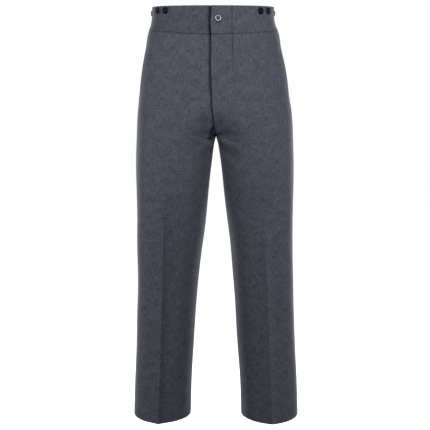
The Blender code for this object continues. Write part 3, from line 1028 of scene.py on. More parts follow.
@dataclass
class ClothPiece:
    """A wall of cloth on the form, whose two faces meet in rounded edges.

    Half the thickness at a place is r times the root of 1 - (1 - s) ** 2 - (1 - t) ** 2. Here r is half
    the cloth's own thickness, and s and t are the distances from the nearest edge at the sides and from the
    nearest edge at the top and bottom, both over r and no more than 1.
    """

    node: str
    side: Side
    thick: float = 1.6
    behind: bool = False
    edge_turns: int = 4
    map_shift: float = 0.0
    pull_reach: float = 9
    pull_fork_fade: float = 26
    pull_fly_fade: float = 12

    @property
    def name(self) -> str:
        """Name of the piece that stands for the node."""
        return f"cloth_{self.node}"

    def levels(self) -> Array:
        """Levels of the rows, from the top down, without the rows of the rounded edges."""
        raise NotImplementedError

    def stations(self, rows: Rows) -> list:
        """Places that the columns pass through, from the first edge to the last."""
        raise NotImplementedError

    def relief(self, distance: Array, level: Array, rows: Rows) -> Array:
        """Height of the cloth's outer face above the form."""
        return 0 * distance * level

    def thickness(self, level: Array) -> Array:
        """Thickness at each level."""
        return self.thick + 0 * level

    def worn(self, distance: Array, level: Array, rows: Rows) -> Array:
        """How rubbed the cloth is, with painted light, where above 0, and its painted shade where below."""
        return 0 * distance * level

    def free_above(self) -> float:
        """Level above which the piece may reach past the centre line."""
        return np.inf

    def graded_levels(self) -> Array:
        """The levels with close rows where the top and bottom edges round off."""
        levels = self.levels()
        turn = 1 - np.cos(np.linspace(0, np.pi / 2, self.edge_turns + 1))
        top, bottom = self.thickness(levels[[0, -1]]) / 2
        middle = levels[(levels < levels[0] - top - 0.2) & (levels > levels[-1] + bottom + 0.2)]
        return np.concatenate([levels[0] - top * turn, middle, levels[-1] + bottom * turn[::-1]])

    def place(self, distance: Array, level: Array) -> tuple[Array, Array]:
        """Points on the cloth's outer face and its normals, for distances and levels of the same shape."""
        shape = (*distance.shape, 3)
        distance, level = distance.reshape(-1, 1), level.ravel()
        rows = Rows(FORM, self.side, level)
        points = FORM.surface(self.side, level, distance)
        normals = FORM.outward(self.side, level, distance)
        height = self.relief(distance, rows.levels, rows) + drape(points)
        return (points + height[..., None] * normals).reshape(shape), normals.reshape(shape)

    def pull_to_seam(self, edge: Array, levels: Array, distance: Array) -> Array:
        """Shift along X that brings the edge at the centre seam back onto it.

        The shift eases out within the panel and below the fork, and on a front above the end of the fly.

        Args:
            edge: where the edge lies, a row for each level.
            levels: the levels.
            distance: distances of the columns.

        Returns:
            The shift of each point.
        """
        exact = FORM.surface(self.side, levels, distance[:, :1])[..., 0]
        down = levels[:, None]
        above_fork = ease((down - FORM.fork + self.pull_fork_fade) / self.pull_fork_fade)
        below_fly = ease((FORM.fly_end + self.pull_fly_fade - down) / self.pull_fly_fade)
        inward = 1 - ease(np.abs(distance - distance[:, :1]) / self.pull_reach)
        return (exact - edge) * above_fork * (1 if self.behind else below_fly) * inward

    def keep_to_side(self, points: Array, levels: Array) -> Array:
        """The same points, kept clear of the centre line below the level where they may pass it."""
        centre = follow(LINES, "centre", levels)
        x = centre + self.side.value * np.maximum(self.side.value * (points[..., 0] - centre), FORM.half_gap)
        kept = points.copy()
        kept[..., 0] = np.where(levels > self.free_above(), points[..., 0], x)
        return kept

    def columns(self, rows: Rows, radius: Array) -> Array:
        """Distances of the columns, with close ones where the side edges round off."""
        (start, _), *inner, (end, count) = self.stations(rows)
        inward = np.sign(end - start) * radius
        turn = 1 - np.cos(np.linspace(0, np.pi / 2, self.edge_turns + 1))
        core = columns_through([(start + inward, 0), *inner, (end - inward, count)])
        return np.hstack([start + inward * turn[:-1], core, end - inward * turn[-2::-1]])

    def walls(self, points: Array, distance: Array, rows: Rows, radius: Array) -> tuple[Array, Array]:
        """Raises the cloth on the form.

        Args:
            points: the form at each place of the grid.
            distance: distance of each place.
            rows: the rows that the places lie on.
            radius: half the thickness of each row.

        Returns:
            The grids of its outer and its inner face, which meet at the edges.
        """
        across, down = np.gradient(points, axis=1), np.gradient(points, axis=0)
        normals = unit(np.cross(across, down)) * (self.side.value if self.behind else -self.side.value)
        height = self.relief(distance, rows.levels, rows) + drape(points)
        near_side = np.minimum(np.abs(distance - distance[:, :1]), np.abs(distance[:, -1:] - distance))
        near_top = np.minimum(rows.levels[0] - rows.levels, rows.levels - rows.levels[-1])
        rounding = sum((1 - np.minimum(near / radius, 1)) ** 2 for near in (near_side, near_top))
        half = radius * np.sqrt(np.maximum(1 - rounding, 0))
        middle = points + (height - radius)[..., None] * normals
        middle[..., 0] += self.pull_to_seam(middle[:, :1, 0], rows.levels[:, 0], distance)
        step = half[..., None] * normals
        return self.keep_to_side(middle + step, rows.levels), self.keep_to_side(middle - step, rows.levels)

    def build(self, wool: bpy.types.Material) -> bpy.types.Object:
        """Args:
            wool: its material.

        Returns:
            The finished piece.
        """
        rows = Rows(FORM, self.side, self.graded_levels())
        radius = self.thickness(rows.levels) / 2
        distance = self.columns(rows, radius)
        points = FORM.cloth(self.side, rows.levels[:, 0], distance)
        corners, used, faces = closed_wall(*self.walls(points, distance, rows, radius))
        if (self.side is Side.RIGHT) != self.behind:
            faces = faces[:, ::-1]
        flat = np.stack([distance * MM + self.map_shift, (rows.levels + 0 * distance) * MM], axis=-1)
        obj = add_mesh(self.name, corners, [faces], np.tile(flat.reshape(-1, 2), (2, 1))[used])
        # The attribute carries wear, painted light and painted shade for the material
        set_values(obj, "worn", np.tile(self.worn(distance, rows.levels, rows).ravel(), 2)[used])
        obj.data.materials.append(wool)
        self.declare(obj, points, np.abs(distance[:, -1] - distance[:, 0]).max())
        return obj

    def declare(self, obj: bpy.types.Object, points: Array, width: float) -> None:
        """States the cut: the widest row, the longest column and the area of the form between them."""
        steps = np.linalg.norm(np.diff(points, axis=0), axis=-1)
        length = steps.sum(axis=0).max()
        one, other = points[1:, 1:] - points[:-1, :-1], points[1:, :-1] - points[:-1, 1:]
        area = np.linalg.norm(np.cross(one, other), axis=-1).sum() / 2
        width = max(width, area / length)
        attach(obj, BODY)
        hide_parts(self.node)
        LOG.info("%s: %.0f x %.0f mm, %.4f square metres", obj.name, width, length, area * MM**2)


@dataclass(frozen=True)
class Fly:
    """Sizes of the fly, which the fronts and the waistband share."""

    fold_lift: float = 1.3
    fold_reach: float = 15
    sink: float = 2.7
    sink_reach: float = 3
    sink_fade: float = 12
    trough: float = 2.2
    trough_width: float = 3.6
    stitch_line: float = 47
    curve_top: float = -206
    curve_end: float = -284
    stitch_sink: float = 0.55
    # Painted shade in the sunken stitching, and painted shadow beside the folded edge
    stitch_grime: float = 0.66
    edge_grime: float = 0.8

    def present(self, level: Array) -> Array:
        """1 along the fly, easing to 0 at its end."""
        return ease((level - FORM.fly_end + 22) / 22)

    def over(self, distance: Array, level: Array) -> Array:
        """Relief of the left side: its folded edge stands up, and the stitch line sinks."""
        lap = FORM.fly_lap(level)
        edge = self.fold_lift * self.present(level) * (1 - ease((distance + lap) / self.fold_reach))
        line = ease((level - self.curve_top) / 20) * bell(distance - self.stitch_line, 1.3)
        fade = 0.35 + 0.65 * ease((level + 150) / 40)
        return edge - self.stitch_sink * fade * line

    def under(self, distance: Array, level: Array) -> Array:
        """Relief of the right side: it sinks below the left one, deepest right beside its edge."""
        beside = distance - FORM.fly_lap(level)
        sunk = self.sink * (1 - ease((beside - self.sink_reach) / self.sink_fade))
        return -self.present(level) * (sunk + self.trough * bell(beside - 1.5, self.trough_width))

    def grime(self, side: Side, distance: Array, level: Array) -> Array:
        """Painted shade in the sunken stitching on the left side, and painted shadow beside the folded edge
        on the right.
        """
        if side is Side.LEFT:
            fade = (0.3 + 0.7 * ease((level + 150) / 40)) * ease((level - self.curve_top) / 20)
            return self.stitch_grime * fade * bell(distance - self.stitch_line, 1.3)
        beside = distance - FORM.fly_lap(level)
        wide = 6 + 4 * ease((level + 240) / 60)
        return self.edge_grime * self.present(level) * (1 - ease((beside - 1) / wide))

    def columns(self, line: Array | float) -> list:
        """Stations of close columns across the fly stitching."""
        return [(line + step, 1) for step in (-1.8, -1.1, -0.5, 0, 0.5, 1.1, 1.8, 3)]

    def path(self, top: float, bottom: float) -> Array:
        """Line of the fly stitching between two levels: straight down, then a quarter ellipse to the edge."""
        turn = np.linspace(0, np.pi / 2, 40)
        straight = np.stack([np.full(60, self.stitch_line), np.linspace(0, self.curve_top, 60)], axis=1)
        out = self.stitch_line * np.cos(turn) + np.sin(turn)
        down = self.curve_top + (self.curve_end - self.curve_top) * np.sin(turn)
        line = np.concatenate([straight, np.stack([out, down], axis=1)[1:]])
        return line[(line[:, 1] <= top) & (line[:, 1] >= bottom)]


FLY = Fly()


def leg_levels(bend: float) -> Array:
    """Levels of a panel from the waist seam to the hem, closest where the cloth turns under at the fork.

    Args:
        bend: level where the centre line starts to run under. From there to the fork the levels go by
            the sine of an even turn, which keeps even steps along the cloth.

    Returns:
        The levels from the top down.
    """
    top = FORM.waist_seam + 0.5
    seam = top - np.array([0, 2, 3, 3.6, 4.2, 4.8, 5.4, 6.2, 7.6])
    hips = np.arange(top - 10, bend + 3, -4.0)
    under = bend - (bend - FORM.fork) * np.sin(np.linspace(0, np.pi / 2, 46))
    thigh = FORM.fork - np.linspace(1, 8.2, 20) ** 2
    leg = np.arange(thigh[-1] - 6, FORM.hem_top + 5, -6.0)
    hem = FORM.hem_top + np.array([3.5, 2.4, 1.5, 0.8, 0, -0.8, -1.6, -2.6, -4, -7, -12, -18, -24, -30])
    return np.concatenate([seam, hips, under, thigh, leg, hem, [FORM.hem]])


@dataclass
class LegPanel(ClothPiece):
    """A front or back panel, from the waist seam to the hem."""

    hem_cloth: float = 3.2
    crease_top: float = -470
    crease_grows: float = 190
    crease_reach: float = 60
    crease_hollow: float = 3.0
    crease_ridge: float = 0.6
    crease_width: float = 2
    rub_top: float = -520
    rub_grows: float = 160
    hem_fade: float = 90
    hem_step: float = 0.35
    hem_sink: float = 0.4
    hem_rub_width: float = 2.5

    def thickness(self, level: Array) -> Array:
        """Cloth, and double cloth where the hem is turned up."""
        return self.thick + (self.hem_cloth - self.thick) * ease((FORM.hem_top + 1.5 - level) / 3)

    def set_in(self, level: Array) -> Array:
        """0 above the pressed crease, growing to 1 down the leg."""
        return ease((self.crease_top - level) / self.crease_grows)

    def pressed(self, off_fold: Array, level: Array) -> Array:
        """The pressed crease: a low ridge between two hollows, each a sine that fades outward."""
        share = np.clip(np.abs(off_fold) / self.crease_reach, 0, 1)
        hollow = self.crease_hollow * np.sin(np.pi * share) * (1 - share)
        hollow = hollow * (1 - 0.6 * ease((FORM.hem + self.hem_fade - level) / self.hem_fade))
        return self.set_in(level) * (self.crease_ridge * bell(off_fold, self.crease_width) - hollow)

    def hem_relief(self, level: Array) -> Array:
        """The turned-up hem shows as a soft step with a shallow line where it is felled."""
        below = FORM.hem_top - level
        return self.hem_step * ease(below / 5) - self.hem_sink * bell(below, 1.6)

    def leg_relief(self, folds: list[Fold], aside: Array, off_fold: Array, level: Array) -> Array:
        """Height of what both panels have.

        Args:
            folds: the panel's soft folds.
            aside: distances from the centre line or inseam.
            off_fold: distances past the pressed crease.
            level: the levels.

        Returns:
            The height of the folds, the hem, the crease and the sunken waist seam.
        """
        height = fold_relief(folds, aside, level) + self.hem_relief(level)
        return height + SEAM.waist_relief(level) + self.pressed(off_fold, level)

    def crease_rub(self, off_fold: Array, level: Array) -> Array:
        """Rubbing along the pressed crease and the hem edge."""
        fold = bell(off_fold, self.crease_width) * ease((self.rub_top - level) / self.rub_grows)
        return np.maximum(fold, bell(level - FORM.hem, self.hem_rub_width))


class CreaseTone(NamedTuple):
    """Tone beside the front crease: rubbing on it, painted shade on its inner side and painted light on its
    outer side.
    """

    rub: float
    shade: float
    shade_reach: float
    light: float
    light_reach: float


# Per side: rubbing on the crease, then painted shade inside it and painted light outside it, with their
# reaches
CREASE_TONES = {
    Side.LEFT: CreaseTone(0.9, 0.1, 12, 0.5, 30),
    Side.RIGHT: CreaseTone(0.15, 0.31, 26, 0, 30),
}


@dataclass
class FrontPanel(LegPanel):
    """Front panel. The left one laps over the right one at the fly, and both gape at the pockets."""

    gape: float = 4.5
    gape_lift: float = 1.8
    gape_reach: float = 24
    pocket_stitch: float = 7
    fork_sink: float = 2.6
    fork_reach: float = 16
    # Width of the painted shadow at the fork: its core and its soft edge
    shade_core: float = 9
    shade_edge: float = 3

    def levels(self) -> Array:
        """Levels for the front."""
        return leg_levels(FORM.bend_front)

    def free_above(self) -> float:
        """The left front passes the centre line along the fly."""
        return FORM.fly_end if self.side is Side.LEFT else np.inf

    def edges(self, rows: Rows) -> tuple[Array, Array]:
        """First and last distance of each row."""
        lap = FORM.fly_lap(rows.levels) if self.side is Side.LEFT else 0
        return FORM.half_gap - lap, rows.seam - FORM.half_gap - self.gape * FORM.mouth(rows.levels)

    def stations(self, rows: Rows) -> list:
        """Close columns at the fly edge, its stitching and the pocket stitching."""
        start, end = self.edges(rows)
        slack = rows.slack(behind=False)
        line = FLY.stitch_line + slack
        pocket = [(end - self.pocket_stitch + step, 1) for step in (-0.8, 0, 0.8, 1.6)]
        return [
            (start, 0),
            (start + 22 + slack, 22),
            (line - 3, 9),
            *FLY.columns(line),
            (rows.front_fold - 4, 24),
            (rows.front_fold, 4),
            (rows.front_fold + 4, 4),
            (end - self.pocket_stitch - 2, 36),
            *pocket,
            (end, 4),
        ]

    def relief(self, distance: Array, level: Array, rows: Rows) -> Array:
        """Folds, pressed seams, the fly and the pocket mouth."""
        _, end = self.edges(rows)
        mouth = FORM.mouth(level)
        plain = 1 - ease(6 * mouth)
        folds = FRONT_FOLDS[self.side]
        height = self.leg_relief(folds, distance, distance - rows.front_fold, level)
        height = height + SEAM.press(end - distance) * plain
        height = height + SEAM.press(np.abs(distance)) * ease((FORM.fly_end - level) / 14)
        height = height + self.gape_lift * mouth * (1 - ease((end - distance) / self.gape_reach))
        height = height - 0.4 * ease(6 * mouth) * bell(end - self.pocket_stitch - distance, 0.9)
        if self.side is Side.RIGHT:
            window = ease((FORM.fly_end + 6 - level) / 14) * ease((level - FORM.fork + 14) / 14)
            height = height - self.fork_sink * window * (1 - ease(distance / self.fork_reach))
        return height + (FLY.over if self.side is Side.LEFT else FLY.under)(distance, level)

    def fork_shade(self, distance: Array, level: Array, rows: Rows) -> Array:
        """Painted shadow at the fork below the fly: a core beside the centre line, and its soft edge."""
        deep = ease((FORM.fly_end + 2 - level) / 12) * (0.5 + 0.5 * ease((level + 372) / 24))
        wide = ease((FORM.fly_end - level) / 26) * (0.3 + 0.7 * ease((level + 350) / 22))
        core = self.shade_core * wide
        aside = rows.at(distance)[0] - rows.out[:, :1]
        return deep * ease((level + 430) / 50) * (1 - ease((aside - core) / (self.shade_edge + core)))

    def worn(self, distance: Array, level: Array, rows: Rows) -> Array:
        """Rubbed crease, pocket edge and hem, painted light and shade beside the crease, and painted shade at
        seams, stitching and fork.
        """
        _, end = self.edges(rows)
        off_fold, tone = distance - rows.front_fold, CREASE_TONES[self.side]
        rubbed = tone.rub * self.crease_rub(off_fold, level)
        open_mouth = ease(6 * FORM.mouth(level))
        rubbed = np.maximum(rubbed, 0.6 * bell(end - distance, 2) * open_mouth)
        # Painted shade along the sunken waist seam, the pocket stitching and the side seam
        painted_shade_and_tone = SEAM.waist_grime(level)
        painted_shade_and_tone = painted_shade_and_tone + 0.5 * open_mouth * bell(end - self.pocket_stitch - distance, 1.1)
        painted_shade_and_tone = painted_shade_and_tone + (1 - open_mouth) * SEAM.grime(end - distance, 0.6)
        # Painted shade on the inner side of the crease, and painted light on its outer side carried with the
        # rubbing
        shade = ease(-off_fold / 1.5) * (1 - ease(-off_fold / tone.shade_reach))
        light = ease(off_fold / 1.5) * (1 - ease(off_fold / tone.light_reach))
        painted_shade_and_tone = painted_shade_and_tone + tone.shade * self.set_in(level) * shade
        rubbed = np.maximum(rubbed, tone.light * self.set_in(level) * light)
        # Painted shadow at the fork of the right front
        if self.side is Side.RIGHT:
            painted_shade_and_tone = painted_shade_and_tone + self.fork_shade(distance, level, rows)
        # The fly adds painted shade in its stitching and painted shadow beside its edge
        return rubbed - np.minimum(painted_shade_and_tone + FLY.grime(self.side, distance, level), 1)


@dataclass
class BackPanel(LegPanel):
    """Back panel, from the centre seam and inseam round to the side seam."""

    behind: bool = True

    def levels(self) -> Array:
        """Levels for the back."""
        return leg_levels(FORM.bend_back)

    def stations(self, rows: Rows) -> list:
        """Columns from the centre back to the side, with one on the pressed crease."""
        start, end = rows.end - FORM.half_gap, rows.seam + FORM.half_gap
        slack = rows.slack(behind=True)
        return [(start, 0), (start - 20 - slack, 16), (rows.back_fold, 36), (end + 20, 36), (end, 9)]

    def relief(self, distance: Array, level: Array, rows: Rows) -> Array:
        """Folds and pressed seams."""
        aside = rows.end - distance
        height = self.leg_relief(BACK_FOLDS[self.side], aside, distance - rows.back_fold, level)
        return height + SEAM.press(aside) + SEAM.press(distance - rows.seam)

    def worn(self, distance: Array, level: Array, rows: Rows) -> Array:
        """The crease and the hem are rubbed, and the seams have painted shade."""
        # Painted shade along the waist seam and the seams at both edges
        painted_shade_and_tone = SEAM.waist_grime(level, 0.6)
        painted_shade_and_tone = painted_shade_and_tone + SEAM.grime(rows.end - distance) + SEAM.grime(distance - rows.seam)
        return 0.5 * self.crease_rub(distance - rows.back_fold, level) - np.minimum(painted_shade_and_tone, 1)


@dataclass
class Band(ClothPiece):
    """Half of the waistband on one side, before or behind the side seam."""

    thick: float = 3.0
    shade: float = 0.0
    swell: float = 0.5
    foot_swell: float = 0.4

    def levels(self) -> Array:
        """Even levels from the top edge to the waist seam."""
        return np.linspace(0, FORM.waist_seam + FORM.half_gap, 27)

    def free_above(self) -> float:
        """The fronts pass the centre line, and the backs don't."""
        return np.inf if self.behind else -np.inf

    def stations(self, rows: Rows) -> list:
        """Columns from the centre to the side, closest at the fly stitching of the left front."""
        seam = rows.seam + (FORM.half_gap if self.behind else -FORM.half_gap)
        if self.behind:
            return [(rows.end - FORM.half_gap, 0), (seam, 56)]
        if self.side is Side.RIGHT:
            return [(rows.seam * 0 - FORM.underlap, 0), (seam, 76)]
        start, line = FORM.half_gap - FORM.fly_lap(rows.levels), FLY.stitch_line
        return [(start, 0), (line - 3, 22), *FLY.columns(line), (seam, 44)]

    def relief(self, distance: Array, level: Array, rows: Rows) -> Array:
        """The band swells a little between its edges, and laps at the fly."""
        height = self.swell * np.sin(np.pi * np.clip(level / FORM.waist_seam, 0, 1))
        height = height + self.foot_swell * bell(level - FORM.waist_seam - 5, 4)
        height = height + SEAM.press(np.abs(distance - rows.seam))
        if self.behind:
            return height + SEAM.press(rows.end - distance)
        return height + (FLY.over if self.side is Side.LEFT else FLY.under)(distance, level)

    def worn(self, distance: Array, level: Array, rows: Rows) -> Array:
        """The top edge is rubbed; the seams, the fly stitching and a ring round the waist button have painted
        shade, and a set tone darkens it all.
        """
        # A set tone for the whole piece, and painted shade along the seams
        painted_shade_and_tone = self.shade + SEAM.waist_grime(level) + SEAM.grime(distance - rows.seam)
        if self.behind:
            painted_shade_and_tone = painted_shade_and_tone + SEAM.grime(rows.end - distance)
        else:
            painted_shade_and_tone = painted_shade_and_tone + FLY.grime(self.side, distance, level)
        # Painted shadow round the waist button
        if self.side is Side.LEFT and not self.behind:
            painted_shade_and_tone = painted_shade_and_tone + 0.55 * bell(np.hypot(distance - 14, level + 30) - 8, 2.4)
        return 0.35 * bell(level, 2) - np.minimum(painted_shade_and_tone, 1)


@dataclass
class Underlay(ClothPiece):
    """Narrow strip that lies just under a front panel."""

    top: float = -66
    bottom: float = -258
    first: float = 0
    last: float = 35
    from_seam: bool = False
    sunk: float = 2.5

    def levels(self) -> Array:
        """Even levels between its ends."""
        return np.linspace(self.top, self.bottom, 48)

    def stations(self, rows: Rows) -> list:
        """Its two edges, measured from the centre line or from the side seam."""
        zero = rows.seam if self.from_seam else 0 * rows.seam
        return [(zero + self.first, 0), (zero + self.last, 14)]

    def relief(self, distance: Array, level: Array, rows: Rows) -> Array:
        """It lies below the panel by the same depth all over."""
        return -self.sunk + 0 * distance * level

    def worn(self, distance: Array, level: Array, rows: Rows) -> Array:
        """Painted shade all over, as the strip lies under the panel."""
        return -0.45 + 0 * distance * level


@dataclass(frozen=True)
class StitchRow:
    """A row of stitches along a line on a piece of cloth."""

    piece: ClothPiece
    line: Array
    pitch: float = 3.1
    share: float = 0.78
    radius: float = 0.26
    rise: float = 0.5
    sunk: float = 0.3

    def strands(self) -> tuple[Array, list]:
        """Every stitch as a thread that comes up, arches over the cloth as half a sine and goes down."""
        run = np.concatenate([[0], np.cumsum(np.hypot(*np.diff(self.line, axis=0).T))])
        count = max(int(run[-1] / self.pitch), 1)
        along = np.linspace(0, 1, 7)
        wanted = (np.arange(count)[:, None] + (1 - self.share) / 2 + self.share * along) * self.pitch
        distance, level = (np.interp(wanted, run, values) for values in self.line.T)
        points, normals = self.piece.place(distance, level)
        paths = points + (self.rise * np.sin(np.pi * along) - self.sunk)[None, :, None] * normals
        return threads_on(paths, normals, self.radius * np.sqrt(np.sin(np.pi * along[1:-1])))


def join_strands(parts: list) -> tuple[Array, list]:
    """Points and faces of several sets of strands as one."""
    counts = np.cumsum([0] + [len(points) for points, _ in parts])
    faces = [block + first for (_, blocks), first in zip(parts, counts) for block in blocks]
    return np.concatenate([points for points, _ in parts]), faces


def finish_piece(obj: bpy.types.Object, material: bpy.types.Material, slot: Slot, node: str = "") -> None:
    """Dresses a hard or sewn piece and ties it to the frame."""
    obj.data.materials.append(material)
    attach(obj, BODY)
    if node:
        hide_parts(node)
    LOG.info("%s: %d faces", obj.name, len(obj.data.polygons))


@dataclass(frozen=True)
class Button:
    """A turned button with four sewing holes.

    The profile is (radius, height) from the rim of its back round to the middle of its face. Four hollows
    ring the middle: each is its depth times an eased fall from its centre to its edge.
    """

    node: str
    piece: ClothPiece
    out: float
    level: float
    profile: tuple
    slot: Slot
    well: float
    hole_ring: float = 2.0
    hole_radius: float = 0.85
    hole_depth: float = 1.3
    turned: float = 0.2
    stand: float = 0.35
    sides: int = 48
    thread_apart: float = 0.28
    thread_radius: float = 0.2

    def frame(self) -> tuple[Array, Array]:
        """Where its back meets the cloth, and the rows sideways, upward and out of the cloth."""
        rows = Rows(FORM, self.piece.side, [self.level])
        half = slice(FORM.samples - 1, None) if self.piece.behind else slice(None, FORM.samples)
        order = slice(None, None, -1 if self.piece.behind else 1)
        arc = np.interp(self.out, rows.out[0, half][order], rows.run[0, half][order])
        point, axis = self.piece.place(np.array([arc]), np.array([self.level]))
        sideways = unit(np.cross([0, 0, 1], axis[0]))
        return point[0] + self.stand * axis[0], np.stack([sideways, np.cross(axis[0], sideways), axis[0]])

    def holes(self) -> Array:
        """Centres of the four holes on the face."""
        angle = self.turned + np.pi / 4 + np.pi / 2 * np.arange(4)
        return self.hole_ring * np.stack([np.cos(angle), np.sin(angle)], axis=1)

    def build(self, material: bpy.types.Material) -> bpy.types.Object:
        """Turns the profile, presses the holes and dresses the button."""
        known = np.array(self.profile, float)
        share = np.linspace(0, len(known) - 1, 6 * len(known))
        radius, height = (smooth_through(known[:, axis], share) for axis in (0, 1))
        centre = np.zeros((1, len(share) + 2, 3))
        centre[0, 1:-1, 2] = height
        centre[0, [0, -1], 2] = known[0, 1], known[-1, 1]
        radius = np.maximum(radius, 0.05)
        x, y = np.eye(3)[None, None, 0], np.eye(3)[None, None, 1]
        points, faces = strands(centre, x, y, radius, self.sides)
        rings = np.concatenate([radius, [0.0]]) < self.well
        on_face = np.zeros(len(points), bool)
        on_face[: len(share) * self.sides] = np.repeat(rings[:-1] & (share > len(known) / 2), self.sides)
        off_hole = np.hypot(*(points[:, None, :2] - self.holes()[None]).transpose(2, 0, 1)).min(axis=1)
        pressed = ease(1.5 * (1 - off_hole / self.hole_radius)) * on_face
        points[:, 2] -= self.hole_depth * pressed
        out = np.hypot(points[:, 0], points[:, 1])
        hollow = np.clip(pressed + on_face * ease((self.well - out) / 1.2) * 0.8, 0, 1)
        place, axes = self.frame()
        obj = add_mesh(self.node.replace("button", "detail"), points @ axes + place, faces)
        set_values(obj, "hollow", hollow)
        finish_piece(obj, material, self.slot, self.node)
        return obj

    def thread(self) -> tuple[Array, list]:
        """Sewing through the holes: two bars of three threads, which arch over the face."""
        holes = self.holes()
        face = self.profile[-1][1]
        along = np.linspace(0, 1, 9)
        ends = np.repeat(np.stack([holes[[0, 2]], holes[[1, 3]]], axis=1), 3, axis=0)
        side = unit((ends[:, 1] - ends[:, 0]) @ np.array([[0, 1], [-1, 0]]))
        ends = ends + self.thread_apart * (np.tile([-1, 0, 1], 2)[:, None] * side)[:, None]
        flat = ends[:, :1] + (ends[:, 1:] - ends[:, :1]) * along[None, :, None]
        height = face - 0.9 + 1.5 * np.sin(np.pi * along) ** 0.6
        paths = np.concatenate([flat, np.broadcast_to(height, flat.shape[:2])[..., None]], axis=-1)
        points, faces = threads_on(paths, np.array([0.0, 0.0, 1.0]), np.full(7, self.thread_radius))
        place, axes = self.frame()
        return points @ axes + place, faces


# Profiles of the buttons as (radius, height), from the middle of the back to the middle of the face
BRACE_PROFILE = (
    *((0, 0), (5.5, 0), (8.1, 0.6), (8.7, 1.6), (8.1, 2.6)),
    *((7, 2.9), (5.9, 2.6), (4.9, 1.95), (2.5, 1.8), (0, 1.8)),
)
SIDE_PROFILE = (
    *((0, 0), (4.5, 0), (6.6, 0.5), (7.1, 1.4), (6.6, 2.3)),
    *((5.7, 2.5), (4.7, 2.2), (3.9, 1.75), (2, 1.6), (0, 1.6)),
)
WAIST_PROFILE = (
    *((0, 0), (3, 0), (3, 1), (7.2, 1.3), (8.1, 1.9), (7.7, 2.8)),
    *((6.4, 3.2), (5.1, 2.9), (4.2, 2), (3.2, 1.1), (0, 1)),
)


@dataclass(frozen=True)
class Softbox:
    """A studio light: where it stands, what it looks at, its size and its power. Sizes in metres."""

    name: str
    place: tuple[float, float, float]
    aim: tuple[float, float, float]
    width: float
    height: float
    power: float

    def build(self) -> None:
        """Adds the light, turned to its aim and unseen by the camera."""
        light = bpy.data.lights.new(self.name, "AREA")
        light.shape = "RECTANGLE"
        light.size, light.size_y = self.width, self.height
        light.energy = self.power
        obj = bpy.data.objects.new(self.name, light)
        obj.location = self.place
        obj.rotation_mode = "QUATERNION"
        obj.rotation_quaternion = (Vector(self.place) - Vector(self.aim)).to_track_quat("Z", "Y")
        obj.visible_camera = False
        bpy.context.scene.collection.objects.link(obj)


